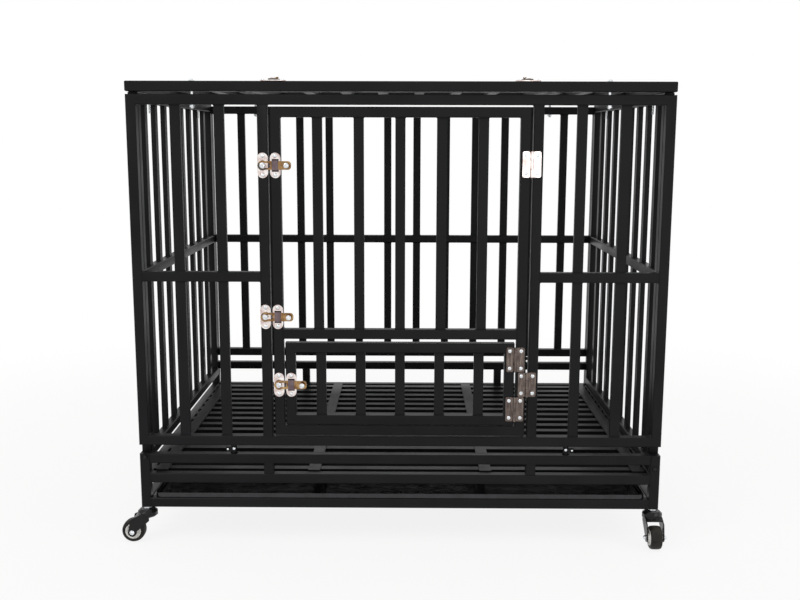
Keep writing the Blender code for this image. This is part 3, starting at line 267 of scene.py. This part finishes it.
def whiteRays(tree):
    # 1 for what the camera sees, directly, mirrored in metal or through glass
    path = addNode(tree, "ShaderNodeLightPath").outputs
    mirrored = addNode(tree, "ShaderNodeMath", {0: path["Is Camera Ray"], 1: path["Is Glossy Ray"]},
                       operation="MAXIMUM")
    return addNode(tree, "ShaderNodeMath", {0: mirrored.outputs[0], 1: path["Is Transmission Ray"]},
                   operation="MAXIMUM").outputs[0]


world = bpy.data.worlds.new("studio")
world.use_nodes = True
scene.world = world
tree = world.node_tree
soft = tree.nodes["Background"]
soft.inputs["Color"].default_value = (1, 1, 1, 1)
soft.inputs["Strength"].default_value = studio["ambient"]
white = addNode(tree, "ShaderNodeBackground", {"Color": (1, 1, 1, 1), "Strength": 1.0})
seen = addNode(tree, "ShaderNodeMixShader", {0: whiteRays(tree), 1: soft.outputs[0], 2: white.outputs[0]})
tree.links.new(seen.outputs[0], tree.nodes["World Output"].inputs["Surface"])

# the floor is white to the camera and in mirrors, with a light shadow left under the crate
floorFinish, tree, shader, where = startFinish(
    "paleStudioFloor", Base_Color=linear(studio["floorColour"]), Roughness=studio["floorRoughness"],
    Specular_IOR_Level=0)
distance = addNode(tree, "ShaderNodeVectorMath", {0: where}, operation="LENGTH").outputs["Value"]
glow = addNode(tree, "ShaderNodeMapRange", {"Value": distance, "From Min": studio["glowFrom"],
                                            "From Max": studio["glowFull"], "To Min": studio["nearGlow"]},
               interpolation_type="SMOOTHSTEP")
glowSeen = addNode(tree, "ShaderNodeMath", {0: glow.outputs["Result"], 1: whiteRays(tree)},
                   operation="MULTIPLY")
white = addNode(tree, "ShaderNodeEmission", {"Color": (1, 1, 1, 1), "Strength": 1.0})
blend = addNode(tree, "ShaderNodeMixShader",
                {0: glowSeen.outputs[0], 1: shader.outputs[0], 2: white.outputs[0]})
tree.links.new(blend.outputs[0], tree.nodes["Material Output"].inputs["Surface"])

bm = bmesh.new()
bmesh.ops.create_grid(bm, x_segments=1, y_segments=1, size=studio["floorSize"] / 2)
floor = bpy.data.objects.new("floor", asMesh("floor", bm, [floorFinish]))
scene.collection.objects.link(floor)
floor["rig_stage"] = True

for name, box in softBoxes.items():
    lamp = bpy.data.objects.new(name, bpy.data.lights.new(name, "AREA"))
    lamp.data.shape = "SQUARE"
    lamp.data.size = box["size"]
    lamp.data.energy = box["power"]
    lamp.location = box["place"]
    aim = Vector(studio["aim"]) - Vector(box["place"])
    lamp.rotation_euler = aim.to_track_quat("-Z", "Y").to_euler()
    scene.collection.objects.link(lamp)
print("crate: studio lit")


# noise keeps mostly to these middle values
noiseSpan = (0.3, 0.7)


def dress(tree, shader, values, tint, wear, relief=None):
    # tint mixes the two colours, wear sets the roughness, and relief makes the bumps
    low, high = values["span"]
    share = addNode(tree, "ShaderNodeMapRange", {"Value": tint, "From Min": low, "From Max": high})
    first, second = values["colours"]
    # a Mix node's colours go in at 6 and 7 and come out at 2
    colour = addNode(tree, "ShaderNodeMix", {0: share.outputs[0], 6: linear(first), 7: linear(second)},
                     data_type="RGBA")
    tree.links.new(colour.outputs[2], shader.inputs["Base Color"])
    low, high = noiseSpan
    smooth, rough = values["roughness"]
    gloss = addNode(tree, "ShaderNodeMapRange", {"Value": wear, "From Min": low, "From Max": high,
                                                 "To Min": smooth, "To Max": rough})
    tree.links.new(gloss.outputs[0], shader.inputs["Roughness"])
    if relief:
        strength, depth = values["bump"]
        bump = addNode(tree, "ShaderNodeBump", {"Height": relief, "Strength": strength, "Distance": depth})
        tree.links.new(bump.outputs[0], shader.inputs["Normal"])


def powderCoat():
    # satin black polyester powder on steel tube: a fine orange peel with 2 to 3 mm between its crests,
    # here 4 mm so that it shows, over slightly uneven gloss and a faint blue cast
    values = {"colours": ("#0d0d0f", "#161618"), "span": noiseSpan, "roughness": (0.36, 0.48),
              "peel": 0.0040, "drift": 0.09, "bump": (0.35, 0.0004)}
    finish, tree, shader, where = startFinish(
        "satinBlackPowderCoat", Base_Color=linear(values["colours"][0]), Roughness=0.42, IOR=1.42,
        Specular_IOR_Level=0.2)
    drift = addNode(tree, "ShaderNodeTexNoise", {"Vector": where, "Scale": 1 / values["drift"], "Detail": 3})
    peel = addNode(tree, "ShaderNodeTexNoise", {"Vector": where, "Scale": 1 / values["peel"], "Detail": 1})
    dress(tree, shader, values, drift.outputs[0], drift.outputs[0], peel.outputs[0])
    return finish


def glossEnamel():
    # stoved black enamel on pressed steel forks: deeper gloss than the powder, soft runs 8 mm apart
    values = {"colours": ("#0b0b0c", "#161514"), "span": noiseSpan, "roughness": (0.16, 0.30),
              "run": 0.008, "bump": (0.25, 0.0006)}
    finish, tree, shader, where = startFinish(
        "glossBlackEnamel", Base_Color=linear(values["colours"][0]), Roughness=0.22, IOR=1.5,
        Specular_IOR_Level=0.25)
    run = addNode(tree, "ShaderNodeTexNoise", {"Vector": where, "Scale": 1 / values["run"], "Detail": 2})
    dress(tree, shader, values, run.outputs[0], run.outputs[0], run.outputs[0])
    return finish


def platedSteel(name, bright, cloudy, gloss, streaks=0.3):
    # nickel or passivated zinc on pressed steel: a mirror clouded by handling, with upright polishing lines
    # that are 0.1 mm apart on the real one and drawn at 1.2 mm so that they show
    values = {"colours": (bright, cloudy), "span": (0.38, 0.62), "roughness": (gloss - 0.06, gloss + 0.12),
              "cloud": 0.012, "lines": 0.0012, "squeeze": (1, 1, 0.05), "bump": (0.12, 0.0001)}
    finish, tree, shader, where = startFinish(name, Base_Color=linear(bright), Metallic=1.0, Roughness=gloss)
    cloud = addNode(tree, "ShaderNodeTexNoise", {"Vector": where, "Scale": 1 / values["cloud"], "Detail": 4})
    upright = addNode(tree, "ShaderNodeMapping", {"Vector": where, "Scale": values["squeeze"]})
    lines = addNode(tree, "ShaderNodeTexNoise", {"Vector": upright.outputs[0], "Scale": 1 / values["lines"]})
    both = addNode(tree, "ShaderNodeMix", {0: streaks, 2: cloud.outputs[0], 3: lines.outputs[0]})
    dress(tree, shader, values, both.outputs[0], cloud.outputs[0], lines.outputs[0])
    return finish


def zincPlate():
    # bright zinc plated bolts and nuts: bluish silver, a little grainy
    values = {"colours": ("#f4f6f8", "#c4c8cb"), "span": noiseSpan, "roughness": (0.14, 0.32), "grain": 0.003}
    finish, tree, shader, where = startFinish(
        "brightZincPlate", Base_Color=linear(values["colours"][0]), Metallic=1.0, Roughness=0.2)
    grain = addNode(tree, "ShaderNodeTexNoise", {"Vector": where, "Scale": 1 / values["grain"], "Detail": 3})
    dress(tree, shader, values, grain.outputs[0], grain.outputs[0])
    return finish


def glossSheet():
    # coil coated black sheet of the tray: a clear gloss that waves gently over 150 mm, finely scuffed
    values = {"colours": ("#141416", "#26252a"), "span": noiseSpan, "roughness": (0.12, 0.26),
              "wave": 0.15, "scuff": 0.02, "bump": (0.5, 0.004)}
    finish, tree, shader, where = startFinish(
        "glossBlackSheet", Base_Color=linear(values["colours"][0]), Roughness=0.16, IOR=1.5)
    wave = addNode(tree, "ShaderNodeTexNoise", {"Vector": where, "Scale": 1 / values["wave"], "Detail": 1})
    scuff = addNode(tree, "ShaderNodeTexNoise", {"Vector": where, "Scale": 1 / values["scuff"], "Detail": 5})
    dress(tree, shader, values, scuff.outputs[0], scuff.outputs[0], wave.outputs[0])
    return finish


def tyrePolyurethane():
    # black cast polyurethane tread: dull, with fine dust in its 1 mm mould grain
    values = {"colours": ("#131211", "#302d29"), "span": noiseSpan, "roughness": (0.48, 0.66),
              "grain": 0.001, "smear": 0.014, "bump": (0.3, 0.0002)}
    finish, tree, shader, where = startFinish(
        "castPolyurethane", Base_Color=linear(values["colours"][0]), Roughness=0.5, IOR=1.5,
        Specular_IOR_Level=0.2)
    smear = addNode(tree, "ShaderNodeTexNoise", {"Vector": where, "Scale": 1 / values["smear"], "Detail": 4})
    grain = addNode(tree, "ShaderNodeTexNoise", {"Vector": where, "Scale": 1 / values["grain"], "Detail": 1})
    dress(tree, shader, values, smear.outputs[0], smear.outputs[0], grain.outputs[0])
    return finish


def hubPlastic():
    # pale grey moulded polypropylene hub: waxy, with a soft 2 mm mottle
    values = {"colours": ("#fbfaf7", "#eeece7"), "span": noiseSpan, "roughness": (0.34, 0.5), "mottle": 0.002}
    finish, tree, shader, where = startFinish(
        "mouldedPolypropylene", Base_Color=linear(values["colours"][0]), Roughness=0.4, IOR=1.49)
    mottle = addNode(tree, "ShaderNodeTexNoise",
                     {"Vector": where, "Scale": 1 / values["mottle"], "Detail": 2})
    dress(tree, shader, values, mottle.outputs[0], mottle.outputs[0])
    return finish


coat = powderCoat()
enamel = glossEnamel()
nickel = platedSteel("polishedNickelPlate", "#fdf9f6", "#cbb4ae", 0.14)
# a darker copy of the polished nickel for the lower hinges: painted shade
shadedNickelCopy = platedSteel("nickelPlatePaintedShade", "#7f726b", "#49403d", 0.24, streaks=0.65)
# a darker nickel for the latch straps: painted shade and reflection
strapShadeNickel = platedSteel("nickelStrapPaintedShade", "#7a6a6e", "#65575b", 0.3)
yellowZinc = platedSteel("yellowPassivatedZinc", "#b59365", "#775639", 0.2)
# a darker zinc for the bolts' keyhole ends: painted shade
eyeShadeZinc = platedSteel("boltEyePaintedShadeZinc", "#6b6661", "#35322f", 0.24)
zinc = zincPlate()
sheet = glossSheet()
tyre = tyrePolyurethane()
plastic = hubPlastic()
print("crate: finishes made")


# welded frames: tubes with rounded corners and a bead of weld along every inner corner; the floor grate
# has no beads
frames = {
    "nodes": ("base_frame", "front_sill_rail", "back_sill_rail", "floor_grate", "front_panel", "back_panel",
              "top_panel", "main_door", "feeding_door", "top_hatch", "left_side_panel", "right_side_panel"),
    "unwelded": "floor_grate",
    "edge": 0.0006,
    "beadRadius": 0.0014,
    "beadSides": 6,
    "beadSharpFrom": 70,
    "shortestBead": 0.006,
    "innerCorner": -1.2,  # radians
}


def weldBeads(bm):
    # a thin six-sided bead along each inner corner where one tube meets another
    beads = bmesh.new()
    radius = frames["beadRadius"]
    for edge in bm.edges:
        if len(edge.link_faces) != 2 or edge.calc_face_angle_signed() > frames["innerCorner"]:
            continue
        length = edge.calc_length()
        if length < frames["shortestBead"]:
            continue
        ends = [vert.co for vert in edge.verts]
        turn = (ends[1] - ends[0]).to_track_quat("Z", "Y").to_matrix().to_4x4()
        bmesh.ops.create_cone(beads, cap_ends=True, segments=frames["beadSides"], radius1=radius,
                              radius2=radius, depth=length - radius,
                              matrix=Matrix.Translation((ends[0] + ends[1]) / 2) @ turn)
    return beads


for node in frames["nodes"]:
    name = node.replace("_", "-")
    bm = nodeShape(node)
    if node != frames["unwelded"]:
        finishPiece(name + "-welds", weldBeads(bm), bodyOf(node), [coat],
                    sharpFrom=frames["beadSharpFrom"])
    finishPiece(name + "-coated", bm, bodyOf(node), [coat], [node], frames["edge"])
print("crate: frames welded and coated")

tray = {"edge": 0.0004}
finishPiece("tray-coated", nodeShape("tray"), "tray", [sheet], ["tray"], tray["edge"])
print("crate: tray made")


# heads of screws, rivets and pins, made once each and set in place for every plate
heads = {
    "rivet": {"radius": 0.0040, "height": 0.0024},
    "screw": {"radius": 0.0040, "height": 0.0020, "slotWidth": 0.0007, "slots": 2},
    "stud": {"radius": 0.0054, "height": 0.0014, "slotWidth": 0.0011, "slots": 1},
    "pinHead": {"radius": 0.0034, "height": 0.0024},
    "pinEye": {"radius": 0.0023, "height": 0.0014},
}
dome = {"around": 24, "over": 12, "coreFoot": 0.98, "coreTop": 0.94, "coreHeight": 0.45, "sharpFrom": 50}


def domeHead(radius, height, slotWidth=0.0, slots=0):
    # a low dome on a thin disc; slots: 0 plain, 1 straight, 2 crossed, as deep as the core under them
    bm = bmesh.new()
    bmesh.ops.create_uvsphere(bm, u_segments=dome["around"], v_segments=dome["over"], radius=radius)
    cutFlat(bm, (0, 0, 0), (0, 0, 1))
    bmesh.ops.scale(bm, vec=(1, 1, height / radius), verts=bm.verts)
    if slots:
        cutFlat(bm, (slotWidth / 2, 0, 0), (1, 0, 0))
        if slots == 2:
            cutFlat(bm, (0, slotWidth / 2, 0), (0, 1, 0))
        part = asMesh("headPart", bm, [zinc])
        bm = bmesh.new()
        for turn in range(2 * slots):
            addShape(bm, part, Matrix.Rotation(math.pi * turn / slots, 4, "Z"))
        depth = height * dome["coreHeight"]
        bmesh.ops.create_cone(bm, cap_ends=True, segments=dome["around"], radius1=radius * dome["coreFoot"],
                              radius2=radius * dome["coreTop"], depth=depth,
                              matrix=Matrix.Translation((0, 0, depth / 2)))
    return bm


headShapes = {name: asMesh(name, domeHead(**sizes), [zinc]) for name, sizes in heads.items()}
headsOf = {}


def setHead(body, head, point, side, spin=0.0):
    place = Matrix.Translation(point) @ facing[side] @ Matrix.Rotation(math.radians(spin), 4, "Z")
    headsOf.setdefault(body, []).append((headShapes[head], place))


# butt hinges: each leaf with rounded edges and two screws, whose crosses stand at all angles
hinge = {"edge": 0.0003, "sheet": 0.0015, "screwSpacing": 0.036, "screwInset": 0.0069,
         "spinPerLeaf": 23, "spinPerScrew": 50}


def plateHinge(number, node):
    # the upper door hinge and the hatch hinges are bright nickel; the others get a darker copy of it as
    # painted shade
    bright = node.startswith("hatch") or (node.startswith("door") and "upper" in node)
    finishPiece(node.replace("_", "-") + "-plated", nodeShape(node), bodyOf(node),
                [nickel if bright else shadedNickelCopy], [node], hinge["edge"])
    low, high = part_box(node)
    moving = "moving" in node
    for end in (-1, 1):
        along = end * hinge["screwSpacing"] / 2
        spin = hinge["spinPerLeaf"] * number + hinge["spinPerScrew"] * end
        if node.startswith("hatch"):
            across = low.y + hinge["screwInset"] if moving else high.y - hinge["screwInset"]
            point = ((low.x + high.x) / 2 + along, across, low.z + hinge["sheet"])
            setHead(bodyOf(node), "screw", point, "up", spin)
        else:
            across = low.x + hinge["screwInset"] if moving else high.x - hinge["screwInset"]
            point = (across, high.y - hinge["sheet"], (low.z + high.z) / 2 + along)
            setHead(bodyOf(node), "screw", point, "front", spin)


for number, node in enumerate(sorted(n for n in frame["nodes"] if "_hinge_" in n)):
    plateHinge(number, node)
print("crate: hinges plated")


# keyhole slide bolts: keeper, guide and bolt, with domed rivets and slotted heads
latch = {
    "edge": 0.0004,
    "plate": 0.002,
    "rivetSpacing": 0.038,
    "knobInset": 0.009,
    "eye": 0.0145,
    "strapFrom": 0.0035,
    "windowHalf": 0.0068,
    "windowFrom": 0.0086,
    "windowTo": 0.0124,
    "windowDepth": 0.0016,
    "knobSpin": (25, 31),
    "studSpin": (40, 17),
}
# each latch's own directions: along its plates, along its bolt, and out of the panel it sits on
onDoor = {"along": Vector((0, 0, 1)), "travel": Vector((1, 0, 0)), "out": Vector((0, -1, 0)), "side": "front"}
onRoof = {"along": Vector((1, 0, 0)), "travel": Vector((0, 1, 0)), "out": Vector((0, 0, 1)), "side": "up"}


def shadeStrap(bm, back, way):
    # the strap stands out from its plate and gets a darker nickel, a painted shade and reflection
    for face in bm.faces:
        rise = (face.calc_center_median() - back).dot(way["out"])
        face.material_index = 1 if rise > latch["strapFrom"] else 0


def shadeEye(bm, start, way):
    # the bolt's keyhole end is painted darker than its knob end, as painted shade
    for face in bm.faces:
        reach = (face.calc_center_median() - start).dot(way["travel"])
        face.material_index = 1 if reach < latch["eye"] else 0


def cutWindows(bm, back, way):
    # the strap is pressed out of the plate, which leaves a dark window above and below it
    windows = bmesh.new()
    bottom = way["out"] * (latch["plate"] - latch["windowDepth"])
    top = way["out"] * 2 * latch["plate"]
    half = way["travel"] * latch["windowHalf"]
    for end in (-1, 1):
        near = way["along"] * end * latch["windowFrom"]
        far = way["along"] * end * latch["windowTo"]
        addBlock(windows, back + near + bottom - half, back + far + top + half, 2)
    return carve(bm, windows, [nickel, strapShadeNickel, coat])


def plateLatch(number, node):
    way = onRoof if node.startswith("hatch") else onDoor
    low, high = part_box(node)
    centre = (low + high) / 2
    rise = abs((high - low).dot(way["out"]))
    back = centre - way["out"] * rise / 2
    finishes = [nickel, strapShadeNickel, coat]
    bm = nodeShape(node)
    if "guide" in node:
        shadeStrap(bm, back, way)
        bm = cutWindows(bm, back, way)
    if "_bolt" in node:
        shadeEye(bm, low, way)
        finishes = [yellowZinc, eyeShadeZinc]
    if way is onRoof:
        # room for the slotted head within the crate's height
        rise -= heads["stud"]["height"]
        cutFlat(bm, back + way["out"] * rise, -way["out"])
    finishPiece(node.replace("_", "-") + "-plated", bm, bodyOf(node), finishes, [node],
                latch["edge"])
    face = back + way["out"] * rise
    if "_bolt" in node:
        reach = (high - low).dot(way["travel"]) / 2 - latch["knobInset"]
        spin = latch["knobSpin"][0] + latch["knobSpin"][1] * number
        setHead(bodyOf(node), "stud", face + way["travel"] * reach, way["side"], spin)
        return
    for end in (-1, 1):
        point = back + way["out"] * latch["plate"] + way["along"] * end * latch["rivetSpacing"] / 2
        setHead(bodyOf(node), "rivet", point, way["side"])
    if "keeper" in node:
        spin = latch["studSpin"][0] + latch["studSpin"][1] * number
        setHead(bodyOf(node), "stud", face, way["side"], spin)


for number, node in enumerate(sorted(n for n in frame["nodes"] if "_latch_" in n)):
    plateLatch(number, node)
print("crate: latches plated")


# the roof's bolts are zinc plated, and the fold pivots black like the posts they sit in
bolts = {
    "edge": 0.0003,
    "roof_bolt": {"slot": "zinc_plate", "finish": zinc},
    "pivot_bolt": {"slot": "gloss_enamel", "finish": enamel},
}
for kind in ("pivot_bolt", "roof_bolt"):
    for node in sorted(n for n in frame["nodes"] if n.startswith(kind)):
        finishPiece(node.replace("_", "-") + "-plated", nodeShape(node), "root",
                    [bolts[kind]["finish"]], [node], bolts["edge"])


# coated hook plates on the locating studs, each with a large and a small pin head
hooks = {
    "front": {"face": -0.3895, "inward": 1, "height": 0.2035},
    "back": {"face": 0.3895, "inward": -1, "height": 0.2235},
    "studX": 0.345,
    "from": -0.0055,
    "to": 0.0155,
    "tall": 0.010,
    "thick": 0.003,
    "headAt": -0.001,
    "headRise": 0.0013,
    "eyeAt": 0.012,
    "edge": 0.001,
}


def hookPlates():
    bm = bmesh.new()
    for wall in ("front", "back"):
        face, height = hooks[wall]["face"], hooks[wall]["height"]
        inside = face + hooks[wall]["inward"] * hooks["thick"]
        for side in (-1, 1):
            addBlock(bm, (side * (hooks["studX"] + hooks["from"]), face, height - hooks["tall"] / 2),
                     (side * (hooks["studX"] + hooks["to"]), inside, height + hooks["tall"] / 2))
            headX = side * (hooks["studX"] + hooks["headAt"])
            eyeX = side * (hooks["studX"] + hooks["eyeAt"])
            setHead("root", "pinHead", (headX, face, height + hooks["headRise"]), wall)
            setHead("root", "pinEye", (eyeX, face, height), wall)
    finishPiece("hook-plates", bm, "root", [coat], edge=hooks["edge"])


# the bolt ends that hang under the side panels' top rails
boltEnd = {"x": 0.5228, "y": (-0.2735, 0.2065), "rail": 0.020, "length": 0.020, "radius": 0.0027,
           "tipRadius": 0.00216, "around": 16}


def boltEnds(side, name):
    bm = bmesh.new()
    body = name + "_side_panel"
    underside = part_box(body)[1].z - boltEnd["rail"]
    for y in boltEnd["y"]:
        where = Matrix.Translation((side * boltEnd["x"], y, underside - boltEnd["length"] / 2))
        bmesh.ops.create_cone(bm, cap_ends=True, segments=boltEnd["around"], radius1=boltEnd["tipRadius"],
                              radius2=boltEnd["radius"], depth=boltEnd["length"], matrix=where)
    finishPiece("bolt-ends-" + name, bm, body, [zinc])


hookPlates()
boltEnds(-1, "left")
boltEnds(1, "right")
print("crate: bolts and pins set")


# casters: tyre, ribbed hub, fork, axle nuts and stem; a profile's points are (along the axle, radius),
# and the tread's and hub's run from the wheel's side to its middle
caster = {
    "tread": ((0.0115, 0.0160), (0.0119, 0.0185), (0.0115, 0.0212), (0.0103, 0.0230), (0.0079, 0.0238),
              (0.0040, 0.0242)),
    "crown": (0, 0.0243),
    "hub": ((0.0155, 0.0046), (0.0155, 0.0072), (0.0150, 0.0078), (0.0090, 0.0084), (0.0084, 0.0092),
            (0.0084, 0.0132), (0.0090, 0.0139), (0.0118, 0.0142), (0.0124, 0.0148), (0.0124, 0.0158),
            (0.0116, 0.0163)),
    "nut": ((0, 0.0048), (0.0026, 0.0050), (0.0032, 0.0044), (0.0046, 0.0037), (0.0057, 0.0022), (0.0060, 0)),
    "around": 48,
    "nutAround": 24,
    "ribs": 6,
    "rib": (0.0226, 0.0014, 0.0062),
    "ribRadius": 0.0110,
    "hubSharpFrom": 40,
    "nutSharpFrom": 30,
    "gap": ((-0.0158, -0.06, 0.050), (0.0158, 0.06, 0.0565)),
    "forkEdge": 0.0006,
    "stemEdge": 0.0004,
    "legOutside": 0.0182,
    "axleHeight": 0.025,
}


def spunRing(profile, segments):
    # spin an open profile about X, and merge its seam
    bm = bmesh.new()
    points = [bm.verts.new((x, 0, radius)) for x, radius in profile]
    edges = [bm.edges.new(pair) for pair in zip(points, points[1:])]
    bmesh.ops.spin(bm, geom=points + edges, cent=(0, 0, 0), axis=(1, 0, 0), angle=math.tau,
                   steps=segments, use_merge=True)
    bmesh.ops.remove_doubles(bm, verts=bm.verts, dist=meshing["merge"])
    bmesh.ops.recalc_face_normals(bm, faces=bm.faces)
    return bm


def bothSides(half, between=()):
    # a profile from one side of the wheel to the other
    return [(-x, radius) for x, radius in half] + list(between) + list(reversed(half))


def treadShape():
    return spunRing(bothSides(caster["tread"], [caster["crown"]]), caster["around"])


def hubShape():
    # the closed profile comes back to its first point
    profile = bothSides(caster["hub"])
    hub = spunRing(profile + profile[:1], caster["around"])
    for number in range(caster["ribs"]):
        turn = Matrix.Rotation(math.tau * number / caster["ribs"], 4, "X")
        made = bmesh.ops.create_cube(hub, size=1)["verts"]
        bmesh.ops.scale(hub, vec=caster["rib"], verts=made)
        bmesh.ops.translate(hub, vec=(0, 0, caster["ribRadius"]), verts=made)
        bmesh.ops.transform(hub, matrix=turn, verts=made)
    return hub


treadMesh = asMesh("tread", treadShape(), [tyre])
hubMesh = asMesh("hub", hubShape(), [plastic], caster["hubSharpFrom"])
nutMesh = asMesh("nut", spunRing(caster["nut"], caster["nutAround"]), [zinc], caster["nutSharpFrom"])


def dressWheel(place, name, wheel, turn):
    node = "caster_wheel_" + place
    bm = bmesh.new()
    addShape(bm, treadMesh, Matrix.Translation(wheel) @ turn)
    finishPiece("tyre-" + name, bm, node, [tyre], [node])
    bm = bmesh.new()
    addShape(bm, hubMesh, Matrix.Translation(wheel) @ turn)
    finishPiece("hub-" + name, bm, node, [plastic], sharpFrom=caster["hubSharpFrom"])


def dressFork(place, name, wheel, turn):
    # the pressed hood leaves daylight over the tyre, and a nut closes each end of the axle
    node = "caster_fork_" + place
    stem = middle("caster_stem_" + place)
    gap = bmesh.new()
    addBlock(gap, *caster["gap"])
    bmesh.ops.transform(gap, matrix=Matrix.Translation((stem.x, stem.y, 0)) @ turn, verts=gap.verts)
    finishPiece("fork-" + name, carve(nodeShape(node), gap, [enamel]), node, [enamel],
                [node], caster["forkEdge"])
    bm = bmesh.new()
    axle = Matrix.Translation((wheel.x, wheel.y, caster["axleHeight"])) @ turn
    for side in (0, math.pi):
        outside = Matrix.Rotation(side, 4, "Z") @ Matrix.Translation((caster["legOutside"], 0, 0))
        addShape(bm, nutMesh, axle @ outside)
    finishPiece("axle-nuts-" + name, bm, node, [zinc], sharpFrom=caster["nutSharpFrom"])


for place in ("left_front", "right_front", "left_back", "right_back"):
    name = place.replace("_", "-")
    wheel = middle("caster_wheel_" + place)
    low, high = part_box("caster_wheel_" + place)
    axleAlongX = high.x - low.x < high.y - low.y
    turn = Matrix.Identity(4) if axleAlongX else Matrix.Rotation(math.radians(90), 4, "Z")
    dressWheel(place, name, wheel, turn)
    dressFork(place, name, wheel, turn)
    stem = "caster_stem_" + place
    finishPiece("stem-" + name, nodeShape(stem), "root", [zinc], [stem], caster["stemEdge"])
print("crate: casters dressed")


# the heads on each body make one piece
for body, places in headsOf.items():
    bm = bmesh.new()
    for head, where in places:
        addShape(bm, head, where)
    finishPiece("heads-" + body.replace("_", "-"), bm, body, [zinc],
                sharpFrom=dome["sharpFrom"])
print("crate: screws and rivets set")


low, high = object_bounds()
